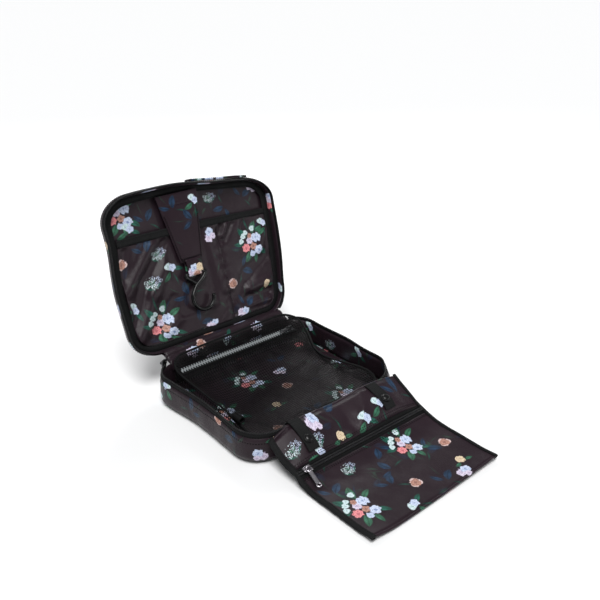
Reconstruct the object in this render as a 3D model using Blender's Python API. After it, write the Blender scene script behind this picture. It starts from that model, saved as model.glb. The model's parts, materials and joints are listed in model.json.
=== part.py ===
"""Hanging toiletry bag: two soft trays joined by a fabric spine, with a hanging hook and a snap-on pouch.

Frame: metres, +Z up. The origin is the centre of the base tray's underside, +Y points to the spine
and the lid, -Y to the pouch, +X to the right. The bag lies open: the base tray flat, the lid leaning
back, the pouch hanging over the front rim and down to the ground.
"""
import bpy
from math import atan2, cos, pi, radians, sin
from mathutils import Matrix, Vector

# --- driving dimensions -------------------------------------------------------------------------
WIDTH = 0.240                # both trays, left to right
DEPTH = 0.205                # both trays, front to back
CORNER = 0.035               # plan radius of the trays' corners
BASE_RIM = 0.0414            # plane where the two trays' zips meet, above the ground
LID_DEPTH = 0.0222           # rim plane of the lid to its outer face
LID_ANGLE = radians(71)      # lid plane above the +Y direction
HINGE_OFFSET = 0.005         # hinge axis behind both trays' outlines
GAP = 0.0003                 # clearance between touching pieces

CLOTH = 0.0012               # outer fabric with its backing
WALL = 0.0014                # gusset: outer fabric and foam
LINING = 0.0007
BASE_BOARD = 0.0016
LID_BOARD = 0.0012

COIL_RADIUS = 0.0009         # main zip: one half of the coil
TAPE_HEIGHT = 0.0052
TAPE_THICKNESS = 0.0008
ZIP_END = radians(30)        # the main zip stops this far round each back corner

MESH_HALF_WIDTH = 0.102
MESH_FRONT, MESH_BACK = -0.088, 0.092
MESH_CORNER = 0.026
MESH_THICKNESS = 0.0012
MESH_TOP = ((-0.088, 0.022), (-0.060, 0.0255), (-0.020, 0.030), (0.020, 0.0335), (0.060, 0.038), (0.092, 0.045))
MESH_ZIP_Y = 0.0695
MESH_ZIP_X = (-0.096, 0.082)
MESH_TAPE_WIDTH = 0.0124

FRAME_WIDTH = 0.0092         # black frame round the lid's lining
POCKET_STAND_OFF = 0.005     # pocket panel above the lid's lining
POCKET_TOP = 0.147
ELASTIC_WIDTH = 0.010
DIVIDER_X = 0.029

STRAP_X = -0.0195            # hook strap, left of the middle
STRAP_TOP, STRAP_FOLD, STRAP_END = 0.1955, 0.1807, 0.108
STRAP_TOP_HALF, STRAP_END_HALF = 0.030, 0.0165
STRAP_Z = -0.0117            # strap's middle plane below the lid's rim
STRAP_THICKNESS = 0.0012
FOLD_CLEARANCE = 0.0009
LOOP_HALF = 0.011
BAR_V, BAR_Z = 0.0915, -0.0097
WIRE = 0.0016                # hook wire radius
HOOK_CENTRE = (0.0022, 0.0577)
HOOK_RADIUS = 0.0157

HANDLE_X = 0.048
HANDLE_HALF = 0.046
HANDLE_WIDTH = 0.013
HANDLE_RISE = 0.004

POUCH_AXIS = (-0.106, 0.044)             # y, z of the line the pouch folds about
POUCH_SLOPE = radians(13.8)
POUCH_HALF = 0.097
POUCH_START, POUCH_END = 0.0095, 0.157   # distance from the fold line, along the pouch
POUCH_THICKNESS = 0.006
POUCH_SHEET = 0.0008
POUCH_SAG = 0.003
POUCH_BINDING = 0.0017
POUCH_ZIP = 0.0462
POUCH_TAPE_WIDTH = 0.014
TABS_X = {"left": -0.068, "right": 0.054}
TAB_HALF = 0.0075
TAB_END = 0.040
SNAP_AT = 0.026
SNAP_RADIUS = 0.0048

# --- colours: base colour, roughness, metallic ---------------------------------------------------
FINISHES = {
    "floral_fabric": ((0.040, 0.029, 0.033), 0.45, 0.0),
    "black_tape": ((0.012, 0.013, 0.012), 0.75, 0.0),
    "black_coil": ((0.015, 0.016, 0.015), 0.40, 0.0),
    "black_mesh": ((0.020, 0.022, 0.021), 0.80, 0.0),
    "silver_coil": ((0.45, 0.47, 0.48), 0.35, 0.0),
    "black_plastic": ((0.008, 0.008, 0.008), 0.22, 0.0),
    "black_metal": ((0.020, 0.020, 0.021), 0.35, 1.0),
    "silver_metal": ((0.66, 0.64, 0.65), 0.28, 1.0),
    "stiffener": ((0.62, 0.60, 0.56), 0.70, 0.0),
}

SIDEWAYS = Matrix(((0, 0, 1), (1, 0, 0), (0, 1, 0))).to_4x4()   # a flat outline's x, y, z to y, z, x


# --- scene helpers -------------------------------------------------------------------------------
def clear_scene():
    for existing in list(bpy.data.objects):
        bpy.data.objects.remove(existing, do_unlink=True)


def new_collection(name):
    collection = bpy.data.collections.new(name)
    bpy.context.scene.collection.children.link(collection)
    return collection


def make_materials():
    made = {}
    for name, (colour, roughness, metallic) in FINISHES.items():
        material = bpy.data.materials.new(name)
        material.use_nodes = True
        shader = material.node_tree.nodes["Principled BSDF"]
        shader.inputs["Base Color"].default_value = (*colour, 1.0)
        shader.inputs["Roughness"].default_value = roughness
        shader.inputs["Metallic"].default_value = metallic
        material.diffuse_color = (*colour, 1.0)
        made[name] = material
    return made


def add_empty(name, matrix, parent=None):
    """An empty that carries a moving piece; matrix is its place under its parent."""
    empty = bpy.data.objects.new(name, None)
    empty.empty_display_size = 0.01
    PARTS.objects.link(empty)
    empty.parent = parent
    empty.matrix_basis = matrix
    return empty


def place(x=0.0, y=0.0, z=0.0):
    return Matrix.Translation((x, y, z))


def add_curve(name, splines, material, parent, matrix, dimensions, cyclic=True):
    data = bpy.data.curves.new(name, "CURVE")
    data.dimensions = dimensions
    for points in splines:
        spline = data.splines.new("POLY")
        spline.points.add(len(points) - 1)
        for point, place_of in zip(spline.points, points):
            point.co = (*place_of, *([0.0] * (3 - len(place_of))), 1.0)
        spline.use_cyclic_u = cyclic
    piece = bpy.data.objects.new(name, data)
    PARTS.objects.link(piece)
    data.materials.append(MATERIALS[material])
    piece.parent = parent
    piece.matrix_basis = matrix
    return piece


def flat_piece(name, outlines, low, high, material, parent=None, turn=None):
    """A plate between two heights: the first outline is its edge, the others are holes in it."""
    matrix = (turn or Matrix()) @ place(z=(low + high) / 2)
    piece = add_curve(name, outlines, material, parent, matrix, "2D")
    piece.data.fill_mode = "BOTH"
    piece.data.extrude = (high - low) / 2
    return piece


def side_piece(name, outline, left, right, material, parent=None):
    """A piece with one outline in the y-z plane, from left to right."""
    return flat_piece(name, [outline], left, right, material, parent, turn=SIDEWAYS)


def tube_piece(name, points, radius, material, parent=None, cyclic=False, resolution=2):
    piece = add_curve(name, [points], material, parent, Matrix(), "3D", cyclic)
    piece.data.bevel_depth = radius
    piece.data.bevel_resolution = resolution
    piece.data.use_fill_caps = not cyclic
    return piece


def as_mesh(piece):
    """The same piece as a welded mesh, so that it can be cut."""
    bpy.context.view_layer.update()
    evaluated = piece.evaluated_get(bpy.context.evaluated_depsgraph_get())
    mesh = bpy.data.meshes.new_from_object(evaluated)
    name, parent, matrix = piece.name, piece.parent, piece.matrix_basis.copy()
    bpy.data.objects.remove(piece, do_unlink=True)
    solid = bpy.data.objects.new(name, mesh)
    PARTS.objects.link(solid)
    solid.parent = parent
    solid.matrix_basis = matrix
    weld = solid.modifiers.new("weld", "WELD")
    weld.merge_threshold = 0.00001
    return solid


def combine(piece, other, operation):
    """Cut, join or intersect a piece with another one, which becomes a hidden guide."""
    boolean = piece.modifiers.new(operation.lower(), "BOOLEAN")
    boolean.operation = operation
    boolean.solver = "EXACT"
    boolean.object = other
    other.hide_render = True
    other.display_type = "WIRE"
    PARTS.objects.unlink(other)
    CUTTERS.objects.link(other)


def box_outline(x_low, x_high, y_low, y_high):
    return [(x_low, y_low), (x_high, y_low), (x_high, y_high), (x_low, y_high)]


def arc(centre, radius, start, end, steps=8):
    """Points along an arc, angles in radians from +X."""
    angles = [start + (end - start) * step / steps for step in range(steps + 1)]
    return [(centre[0] + radius * cos(angle), centre[1] + radius * sin(angle)) for angle in angles]


def circle(centre, radius, steps=20):
    return arc(centre, radius, 0, 2 * pi, steps)[:-1]


def rounded_outline(half_width, front, back, corner, steps=6):
    left, right = -half_width + corner, half_width - corner
    return (arc((left, back - corner), corner, pi / 2, pi, steps)
            + arc((left, front + corner), corner, pi, 1.5 * pi, steps)
            + arc((right, front + corner), corner, 1.5 * pi, 2 * pi, steps)
            + arc((right, back - corner), corner, 0, pi / 2, steps))


# --- the two trays -------------------------------------------------------------------------------
def tray_loop(inset, front):
    """A tray's outline, moved inwards by inset."""
    return rounded_outline(WIDTH / 2 - inset, front + inset, front + DEPTH - inset, CORNER - inset)


def tray_zip_path(inset, front):
    """The stretch of the outline that the main zip follows, from the left back corner to the right."""
    left, right = -WIDTH / 2 + CORNER, WIDTH / 2 - CORNER
    near, far = front + CORNER, front + DEPTH - CORNER
    radius = CORNER - inset
    return (arc((left, far), radius, pi / 2 + ZIP_END, pi, 5) + arc((left, near), radius, pi, 1.5 * pi)
            + arc((right, near), radius, 1.5 * pi, 2 * pi) + arc((right, far), radius, 0, pi / 2 - ZIP_END, 5))


def tray_spine_path(inset, front):
    """The stretch at the back that has no zip, from right to left."""
    left, right = -WIDTH / 2 + CORNER, WIDTH / 2 - CORNER
    far = front + DEPTH - CORNER
    radius = CORNER - inset
    stop = ZIP_END - radians(2)
    return (arc((right, far), radius, pi / 2 - stop, pi / 2, 3) + arc((left, far), radius, pi / 2, pi / 2 + stop, 3))


def band(path, outer, inner, front):
    """An open wall's plan: one side at the outer inset, the other at the inner inset."""
    return path(outer, front) + path(inner, front)[::-1]


def make_tray(name, panel_name, front, rim, floor, board, parent):
    """One tray: outer panel, board, lining, gusset wall, half of the main zip, and the spine's edge."""
    panel_top = floor + CLOTH
    board_top = panel_top + GAP + board
    lining_top = board_top + GAP + LINING - 0.0001
    tape_top = rim - GAP - 2 * COIL_RADIUS - GAP
    tape_low = tape_top - TAPE_HEIGHT
    wall_top = tape_low - GAP
    lining_inset = WALL + GAP
    floor_inset = lining_inset + LINING + 0.0004

    flat_piece(panel_name, [tray_loop(0, front)], floor, panel_top, "floral_fabric", parent)
    flat_piece(name + "_board", [tray_loop(0.005, front)], panel_top + GAP, board_top, "stiffener", parent)
    flat_piece(name + "_lining", [tray_loop(floor_inset, front)], board_top + GAP, lining_top,
               "floral_fabric", parent)
    flat_piece(name + "_gusset", [tray_loop(0, front), tray_loop(WALL, front)],
               panel_top + GAP, wall_top, "floral_fabric", parent)
    flat_piece(name + "_lining_wall", [tray_loop(lining_inset, front), tray_loop(lining_inset + LINING, front)],
               panel_top + GAP, wall_top, "floral_fabric", parent)
    flat_piece(name + "_zip_tape", [band(tray_zip_path, 0.0004, 0.0004 + TAPE_THICKNESS, front)],
               tape_low, tape_top, "black_tape", parent)
    flat_piece(name + "_spine", [band(tray_spine_path, 0, WALL, front)],
               tape_low, rim - 2 * GAP, "floral_fabric", parent)
    coil_height = rim - GAP - COIL_RADIUS
    coil = [(x, y, coil_height) for x, y in tray_zip_path(COIL_RADIUS, front)]
    tube_piece(name + "_zip_coil", coil, COIL_RADIUS, "black_coil", parent, resolution=1)
    return lining_top


# --- the base's mesh compartment -----------------------------------------------------------------
def mesh_height(y):
    """Height of the mesh cover's outer face: straight runs between the stated points."""
    for (y0, z0), (y1, z1) in zip(MESH_TOP, MESH_TOP[1:]):
        if y <= y1:
            break
    return z0 + (z1 - z0) * (y - y0) / (y1 - y0)


def mesh_solid(name, inset, low):
    """The space under the mesh: the sloping side outline, trimmed to the rounded plan."""
    front, back = MESH_FRONT + inset, MESH_BACK - inset
    stops = [front] + [y for y, z in MESH_TOP[1:-1]] + [back]
    outline = [(back, low), (front, low)] + [(y, mesh_height(y) - inset) for y in stops]
    solid = as_mesh(side_piece(name, outline, inset - MESH_HALF_WIDTH, MESH_HALF_WIDTH - inset, "black_mesh"))
    plan = rounded_outline(MESH_HALF_WIDTH - inset, front, back, MESH_CORNER - inset)
    trim = as_mesh(flat_piece(name + "_plan", [plan], low - 0.001, 0.060, "black_mesh"))
    combine(solid, trim, "INTERSECT")
    return solid


def make_mesh_compartment(lining_top):
    skirt_low = lining_top + GAP
    cover = mesh_solid("mesh_cover", 0.0, skirt_low)
    combine(cover, mesh_solid("mesh_hollow", MESH_THICKNESS, skirt_low - 0.002), "DIFFERENCE")
    half_slot = MESH_TAPE_WIDTH / 2 + GAP
    slot_plan = box_outline(MESH_ZIP_X[0] - GAP, MESH_ZIP_X[1] + GAP, MESH_ZIP_Y - half_slot, MESH_ZIP_Y + half_slot)
    combine(cover, as_mesh(flat_piece("mesh_slot", [slot_plan], 0.030, 0.060, "black_mesh")), "DIFFERENCE")

    reach = 0.0013
    edge = rounded_outline(MESH_HALF_WIDTH + reach, MESH_FRONT - reach, MESH_BACK + reach, MESH_CORNER + reach)
    edge = [(x, y, mesh_height(min(max(y, MESH_FRONT), MESH_BACK)) - 0.0008) for x, y in edge]
    tube_piece("mesh_binding", edge, 0.0010, "black_tape", cyclic=True, resolution=1)

    (y0, z0), (y1, z1) = MESH_TOP[-2:]
    slope = atan2(z1 - z0, y1 - y0)
    middle = mesh_height(MESH_ZIP_Y)
    plane = place(0, MESH_ZIP_Y, middle) @ Matrix.Rotation(slope, 4, "X")
    half = MESH_TAPE_WIDTH / 2 / cos(slope) - 2 * GAP
    tape = box_outline(*MESH_ZIP_X, -half, half)
    flat_piece("mesh_zip_tape", [tape], -0.0010, -0.0002, "black_tape", turn=plane)
    coil = box_outline(MESH_ZIP_X[0] + 0.001, MESH_ZIP_X[1] - 0.001, -0.0023, 0.0023)
    flat_piece("mesh_zip_coil", [coil], -0.0002 + GAP, 0.0016, "silver_coil", turn=plane)
    return plane


# --- zip sliders: x along the zip, y the way the pull lies, z outwards ------------------------------
def make_slider(name, matrix, parent, material, base_height, pull_length, pull_turn=0.0):
    """A slider plate with its crown post, and the pull that swivels round the post on its own empty."""
    carrier = add_empty(name + "_travel", matrix, parent)
    plate_top = base_height + 0.0014
    plate = as_mesh(flat_piece(name, [box_outline(-0.0045, 0.0045, -0.0036, 0.0036)],
                               base_height, plate_top, material, carrier))
    post = as_mesh(flat_piece(name + "_post", [circle((0, 0), 0.0011, 12)],
                              plate_top - 0.0005, plate_top + 0.0024, material, carrier))
    combine(plate, post, "UNION")
    cap = as_mesh(flat_piece(name + "_cap", [circle((0, 0), 0.0022, 12)],
                             plate_top + 0.0018, plate_top + 0.0030, material, carrier))
    combine(plate, cap, "UNION")

    swivel = add_empty(name + "_swivel", place() @ Matrix.Rotation(pull_turn, 4, "Z"), carrier)
    ring, neck, tab, eye = 0.0032, 0.0014, 0.0030, 0.0019
    far = pull_length - tab
    outline = (arc((0, 0), ring, pi / 2 + 0.5, 2 * pi + pi / 2 - 0.5, 14)
               + [(neck, 0.0045), (tab, 0.0060)] + arc((0, far), tab, 0, pi, 8) + [(-tab, 0.0060), (-neck, 0.0045)])
    flat_piece(name.replace("slider", "pull"), [outline, circle((0, 0), 0.0016, 14), circle((0, far), eye, 12)],
               plate_top + GAP, plate_top + GAP + 0.0010, material, swivel)


def make_main_sliders():
    """The main zip's two sliders, parked at its ends round the back corners, pulls hanging down."""
    height = BASE_RIM + 0.0005
    for side, sign in (("left", -1), ("right", 1)):
        corner_axis = add_empty("main_zip_corner_" + side,
                                place(sign * (WIDTH / 2 - CORNER), DEPTH / 2 - CORNER, height))
        outward = Vector((sign * sin(ZIP_END), cos(ZIP_END), 0))
        down = Vector((0, 0, -1))
        along = down.cross(outward)
        frame = Matrix((along, down, outward)).transposed().to_4x4()
        make_slider("main_slider_" + side, frame, corner_axis, "black_metal", CORNER + 2 * GAP, 0.0165)


# --- the lid ------------------------------------------------------------------------------------
def make_lid_pocket(lid, front, lining_top):
    """The lining's black frame, and the gathered pocket with its elastic top and divider."""
    outer_inset = WALL + 2 * GAP + LINING + 0.0004
    inner_inset = outer_inset + FRAME_WIDTH
    panel_low = lining_top + POCKET_STAND_OFF
    panel_high = panel_low + 0.0008
    flat_piece("lid_lining_frame", [tray_loop(outer_inset, front), tray_loop(inner_inset, front)],
               lining_top + GAP, panel_low - GAP, "black_tape", lid)

    inset = inner_inset + GAP
    radius = CORNER - inset
    half, near = WIDTH / 2 - inset, front + inset
    panel = ([(-half, POCKET_TOP)] + arc((radius - half, near + radius), radius, pi, 1.5 * pi, 6)
             + arc((half - radius, near + radius), radius, 1.5 * pi, 2 * pi, 6) + [(half, POCKET_TOP)])
    flat_piece("lid_pocket", [panel], panel_low, panel_high, "floral_fabric", lid)
    elastic = box_outline(-half, half, POCKET_TOP + GAP, POCKET_TOP + ELASTIC_WIDTH)
    flat_piece("lid_pocket_elastic", [elastic], panel_low, panel_high, "black_tape", lid)
    seam = box_outline(DIVIDER_X - 0.0006, DIVIDER_X + 0.0006, near + 0.001, POCKET_TOP - 0.001)
    flat_piece("lid_pocket_divider", [seam], lining_top + GAP, panel_low - GAP, "floral_fabric", lid)


def strap_half_width(v):
    share = (STRAP_TOP - v) / (STRAP_TOP - STRAP_END)
    return STRAP_TOP_HALF + (STRAP_END_HALF - STRAP_TOP_HALF) * share


def strap_outline(v_low, v_high):
    """A stretch of the tapered strap, between two distances from the lid's hinge axis."""
    low, high = strap_half_width(v_low), strap_half_width(v_high)
    return [(-low, v_low), (low, v_low), (high, v_high), (-high, v_high)]


def make_hanger(lid):
    """The hook strap in two hinged lengths, the loop at its end, and the bent-wire hook in the loop."""
    def strap_piece(name, v_low, v_high, axis_empty, axis_v):
        outline = [(x, v - axis_v) for x, v in strap_outline(v_low, v_high)]
        return flat_piece(name, [outline], -STRAP_THICKNESS / 2, STRAP_THICKNESS / 2, "floral_fabric", axis_empty)

    root_axis = add_empty("strap_root_axis", place(STRAP_X, STRAP_TOP + 0.0005, STRAP_Z), lid)
    strap_piece("strap_root", STRAP_FOLD + FOLD_CLEARANCE, STRAP_TOP, root_axis, STRAP_TOP + 0.0005)
    fold_axis = add_empty("strap_fold_axis", place(0, STRAP_FOLD - STRAP_TOP - 0.0005, 0), root_axis)
    strap_piece("hook_strap", STRAP_END, STRAP_FOLD - FOLD_CLEARANCE, fold_axis, STRAP_FOLD)

    inner, outer = WIRE + 0.0004, WIRE + 0.0011
    bar_y, bar_z = BAR_V - STRAP_FOLD, BAR_Z - STRAP_Z
    leg_end = STRAP_END - GAP - STRAP_FOLD
    outside = [(bar_y + y, bar_z + z) for y, z in arc((0, 0), outer, 1.5 * pi, pi / 2)]
    inside = [(bar_y + y, bar_z + z) for y, z in arc((0, 0), inner, pi / 2, 1.5 * pi)]
    outline = ([(leg_end, bar_z - outer)] + outside + [(leg_end, bar_z + outer), (leg_end, bar_z + inner)]
               + inside + [(leg_end, bar_z - inner)])
    side_piece("hook_loop", outline, -LOOP_HALF, LOOP_HALF, "floral_fabric", fold_axis)

    hook_axis = add_empty("hook_axis", place(0, bar_y, bar_z), fold_axis)
    arch = arc(HOOK_CENTRE, HOOK_RADIUS, radians(152), radians(356), 18)
    side = LOOP_HALF + 0.0008 + WIRE
    path = ([(-0.0029, 0.0779), (-side + 0.0002, 0.0872), (-side + 0.0001, 0.0895), (-side + 0.0014, BAR_V - 0.0003),
             (-side + 0.0030, BAR_V), (side - 0.0030, BAR_V), (side - 0.0010, BAR_V - 0.0006), (side, 0.0895),
             (side - 0.0006, 0.0874)] + arch)
    hook = [(x, v - BAR_V, 0.0) for x, v in path]
    tube_piece("hook", hook, WIRE, "black_plastic", hook_axis, resolution=2)


def make_handle(lid, front):
    """A flat carry handle over the lid's far side wall, with a sewn patch at each end."""
    face = front + DEPTH
    middle = -LID_DEPTH / 2 - 0.001
    low, high = middle - HANDLE_WIDTH / 2, middle + HANDLE_WIDTH / 2
    steps = 12
    under, over = [], []
    for step in range(steps + 1):
        across = -1 + 2 * step / steps
        lift = face + 0.0015 + HANDLE_RISE * (1 - across ** 2) ** 1.5
        under.append((HANDLE_X + HANDLE_HALF * across, lift))
        over.append((HANDLE_X + HANDLE_HALF * across, lift + 0.0018))
    flat_piece("handle", [under + over[::-1]], low, high, "floral_fabric", lid)
    for side, sign in (("left", -1), ("right", 1)):
        end = HANDLE_X + sign * (HANDLE_HALF - 0.006)
        patch = box_outline(end - 0.005, end + 0.005, face + GAP, face + 0.0012)
        flat_piece("handle_patch_" + side, [patch], low + 0.001, high - 0.001, "floral_fabric", lid)


def make_lid():
    lean = Matrix.Rotation(LID_ANGLE, 4, "X")
    lid = add_empty("lid_hinge_axis", place(0, DEPTH / 2 + HINGE_OFFSET, BASE_RIM) @ lean)
    lining_top = make_tray("lid", "lid_outer_panel", HINGE_OFFSET, 0.0, -LID_DEPTH, LID_BOARD, lid)
    make_lid_pocket(lid, HINGE_OFFSET, lining_top)
    make_hanger(lid)
    make_handle(lid, HINGE_OFFSET)


# --- the pouch: y away from the fold line, z down through the pouch --------------------------------
def pouch_sag(s):
    share = (s - POUCH_START) / (POUCH_END - POUCH_START)
    return 4 * POUCH_SAG * share * (1 - share)


def pouch_outline(s_low, s_high, top, bottom, steps):
    """Side outline of a sheet that follows the pouch's sagging line, between two depths."""
    stops = [s_low + (s_high - s_low) * step / steps for step in range(steps + 1)]
    return ([(s, top + pouch_sag(s)) for s in stops] + [(s, bottom + pouch_sag(s)) for s in reversed(stops)])


def make_pouch():
    axis_y, axis_z = POUCH_AXIS
    slope = Matrix.Rotation(pi + POUCH_SLOPE, 4, "X")
    pouch = add_empty("pouch_fold_axis", place(0, axis_y, axis_z) @ slope)
    half_tape = POUCH_TAPE_WIDTH / 2
    tape_low, tape_high = POUCH_ZIP - half_tape, POUCH_ZIP + half_tape
    under = POUCH_THICKNESS

    def sheet(name, s_low, s_high, top, bottom, material, steps, left=-POUCH_HALF, right=POUCH_HALF):
        return side_piece(name, pouch_outline(s_low, s_high, top, bottom, steps), left, right, material, pouch)

    sheet("pouch_back", POUCH_START + GAP, POUCH_END - GAP, under - POUCH_SHEET, under, "floral_fabric", 12)
    upper = as_mesh(sheet("pouch_front_upper", POUCH_START + GAP, tape_low - GAP, 0, POUCH_SHEET, "floral_fabric", 4))
    sheet("pouch_front_lower", tape_high + GAP, POUCH_END - GAP, 0, POUCH_SHEET, "floral_fabric", 10)
    sheet("pouch_zip_tape", tape_low, tape_high, 0.0003, 0.0010, "black_tape", 3)
    coil_end = POUCH_HALF - 0.003
    sheet("pouch_zip_coil", POUCH_ZIP - 0.0025, POUCH_ZIP + 0.0025, -0.0014, 0.0, "black_coil", 1, -coil_end, coil_end)
    sheet("pouch_top_edge", POUCH_START - 0.0015, POUCH_START, 0, under, "floral_fabric", 1)
    sheet("pouch_bottom_edge", POUCH_END, POUCH_END + 0.0015, 0, under, "floral_fabric", 1)
    inner, outer = POUCH_HALF + GAP, POUCH_HALF + GAP + POUCH_BINDING
    sheet("pouch_binding_left", POUCH_START, POUCH_END, 0, under, "black_tape", 12, -outer, -inner)
    sheet("pouch_binding_right", POUCH_START, POUCH_END, 0, under, "black_tape", 12, inner, outer)

    snap_depth = pouch_sag(SNAP_AT)
    for side, x in TABS_X.items():
        hole = as_mesh(flat_piece("snap_hole_" + side, [circle((x, SNAP_AT), SNAP_RADIUS)],
                                  -0.002, 0.004, "black_plastic", pouch))
        combine(upper, hole, "DIFFERENCE")
        flat_piece("snap_socket_" + side, [circle((x, SNAP_AT), SNAP_RADIUS - GAP)],
                   snap_depth, snap_depth + POUCH_SHEET, "black_plastic", pouch)
        make_tab(side, x, pouch)

    zip_frame = place(-0.0865, POUCH_ZIP, pouch_sag(POUCH_ZIP)) @ Matrix.Rotation(pi, 4, "Y")
    make_slider("pouch_slider", zip_frame, pouch, "silver_metal", 0.0014 + GAP, 0.0230, radians(-14))


def make_tab(side, x, pouch):
    """The webbing tab: its root goes up inside the front wall and over the rim; its free end is on the pouch."""
    wall = -DEPTH / 2 + WALL + 2 * GAP + LINING
    rim = BASE_RIM
    root = [(wall, 0.022), (wall + 0.001, 0.022), (wall + 0.001, rim + 0.001), (POUCH_AXIS[0] + 0.0014, rim + 0.001),
            (POUCH_AXIS[0] + 0.0014, rim), (wall, rim)]
    side_piece("tab_root_" + side, root, x - TAB_HALF, x + TAB_HALF, "black_tape")
    tab = add_empty("tab_axis_" + side, place(x, 0, 0), pouch)
    strap = box_outline(-TAB_HALF, TAB_HALF, 0.0015, TAB_END)
    flat_piece("tab_strap_" + side, [strap], -0.0013, -GAP, "black_tape", tab)
    flat_piece("snap_cap_" + side, [circle((0, SNAP_AT), SNAP_RADIUS)], -0.0034, -0.0016, "black_plastic", tab)


def make_base():
    lining_top = make_tray("base", "base_outer_panel", -DEPTH / 2, BASE_RIM, 0.0, BASE_BOARD, None)
    axis = [(x, DEPTH / 2 + HINGE_OFFSET, BASE_RIM) for x in (-0.084, 0.084)]
    tube_piece("spine_fold", axis, 0.0016, "floral_fabric")
    zip_plane = make_mesh_compartment(lining_top)
    slider_frame = zip_plane @ place(MESH_ZIP_X[1] - 0.008) @ Matrix.Rotation(pi, 4, "Z")
    make_slider("mesh_slider", slider_frame, None, "black_metal", 0.0016 + GAP, 0.0190, radians(-78))
    make_main_sliders()


clear_scene()
PARTS = new_collection("hanging_toiletry_bag")
CUTTERS = new_collection("cutters")
MATERIALS = make_materials()
make_base()
make_lid()
make_pouch()
bpy.context.view_layer.update()
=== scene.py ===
"""Looks of the hanging toiletry bag: printed satin, zips, net, webbing and hardware."""
import json
import bpy
import bmesh
from contextlib import contextmanager
from math import atan2, cos, exp, floor, hypot, pi, radians, sin, sqrt
from mathutils import Matrix, Vector, noise

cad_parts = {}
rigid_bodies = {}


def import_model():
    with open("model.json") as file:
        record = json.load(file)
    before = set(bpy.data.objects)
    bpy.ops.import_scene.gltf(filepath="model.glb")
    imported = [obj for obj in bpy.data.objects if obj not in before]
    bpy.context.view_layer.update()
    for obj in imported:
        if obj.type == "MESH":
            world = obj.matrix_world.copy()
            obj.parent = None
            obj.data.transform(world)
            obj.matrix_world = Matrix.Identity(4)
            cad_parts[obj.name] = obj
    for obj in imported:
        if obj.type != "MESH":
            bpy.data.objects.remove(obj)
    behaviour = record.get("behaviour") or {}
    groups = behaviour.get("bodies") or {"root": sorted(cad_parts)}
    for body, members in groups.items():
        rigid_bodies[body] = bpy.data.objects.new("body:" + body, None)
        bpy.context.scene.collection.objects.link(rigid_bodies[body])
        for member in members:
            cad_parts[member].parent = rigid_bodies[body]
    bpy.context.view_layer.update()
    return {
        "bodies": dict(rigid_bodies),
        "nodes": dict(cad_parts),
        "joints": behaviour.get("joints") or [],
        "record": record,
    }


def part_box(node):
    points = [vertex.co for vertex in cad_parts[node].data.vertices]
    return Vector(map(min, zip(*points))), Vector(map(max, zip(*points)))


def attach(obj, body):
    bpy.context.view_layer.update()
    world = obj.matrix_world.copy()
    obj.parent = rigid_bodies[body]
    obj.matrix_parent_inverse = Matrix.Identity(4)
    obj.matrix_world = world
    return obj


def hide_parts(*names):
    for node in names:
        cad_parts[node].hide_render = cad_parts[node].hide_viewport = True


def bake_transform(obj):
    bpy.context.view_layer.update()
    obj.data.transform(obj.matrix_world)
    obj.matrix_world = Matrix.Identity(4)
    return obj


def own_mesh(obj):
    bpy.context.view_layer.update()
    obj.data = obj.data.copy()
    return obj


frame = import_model()


def mm(*lengths):
    """Lengths given in millimetres."""
    return tuple(length / 1000 for length in lengths)


def rows_mm(*rows):
    """Rows of lengths given in millimetres."""
    return tuple(mm(*row) for row in rows)


# --- driving dimensions, as in the CAD --------------------------------------------------------------
TRAY_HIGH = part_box("base_outer_panel")[1]
HALF_WIDTH, HALF_DEPTH = TRAY_HIGH.x, TRAY_HIGH.y
CORNER = 0.035                     # plan radius of both trays
BASE_RIM = 0.0414                  # plane where the two trays' zips meet
LID_DEPTH = 0.0222
LID_ANGLE = radians(71)
HINGE_OFFSET = 0.005
HINGE = Vector((0, HALF_DEPTH + HINGE_OFFSET, BASE_RIM))
LID_FRAME = Matrix.Translation(HINGE) @ Matrix.Rotation(LID_ANGLE, 4, "X")
ROLL = 0.009                       # radius of the soft fold where a side wall meets the outer panel
TAPE_TOP, TAPE_LOW = 0.002, 0.0076    # below the rim
QUARTER = pi / 2 * CORNER
BACK_RUN = HALF_WIDTH - CORNER
SIDE_RUN = 2 * (HALF_DEPTH - CORNER)
LOOP = 4 * BACK_RUN + 2 * SIDE_RUN + 4 * QUARTER
ZIP_START = BACK_RUN + radians(30) * CORNER      # the zip begins this far from the middle of the back
RIM_STEP = 0.004                   # distance between points round a tray

MESH_HALF, MESH_FRONT, MESH_BACK = 0.102, -0.088, 0.092
MESH_CORNER = 0.026
MESH_TOP = rows_mm((-88, 22), (-60, 25.5), (-20, 30), (20, 33.5), (60, 38), (92, 45))
MESH_ZIP_Y, MESH_ZIP_X = 0.0695, (-0.098, 0.082)
MESH_SLOPE = atan2(0.007, 0.032)
LINING_FLOOR = {"base": 0.004, "lid": 0.0035}

POCKET_Z = -0.0133                 # lid pocket, from the lid's rim plane
POCKET_LOW, POCKET_TOP = 0.0165, 0.147
ELASTIC_TOP = 0.157
POCKET_HALF = 0.1065
DIVIDER_X = 0.029
STRAP_X, STRAP_Z = -0.0195, -0.0117
STRAP_TOP, STRAP_FOLD, STRAP_END = 0.1955, 0.1807, 0.108
STRAP_WIDE, STRAP_NARROW = 0.03, 0.0165      # half widths at its top and its end
BAR_V, BAR_Z = 0.0915, -0.0097
HOOK_WIRE = 0.0027
LOOP_HALF = 0.011
HANDLE_X, HANDLE_HALF, HANDLE_WIDTH = 0.046, 0.044, 0.013

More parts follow.
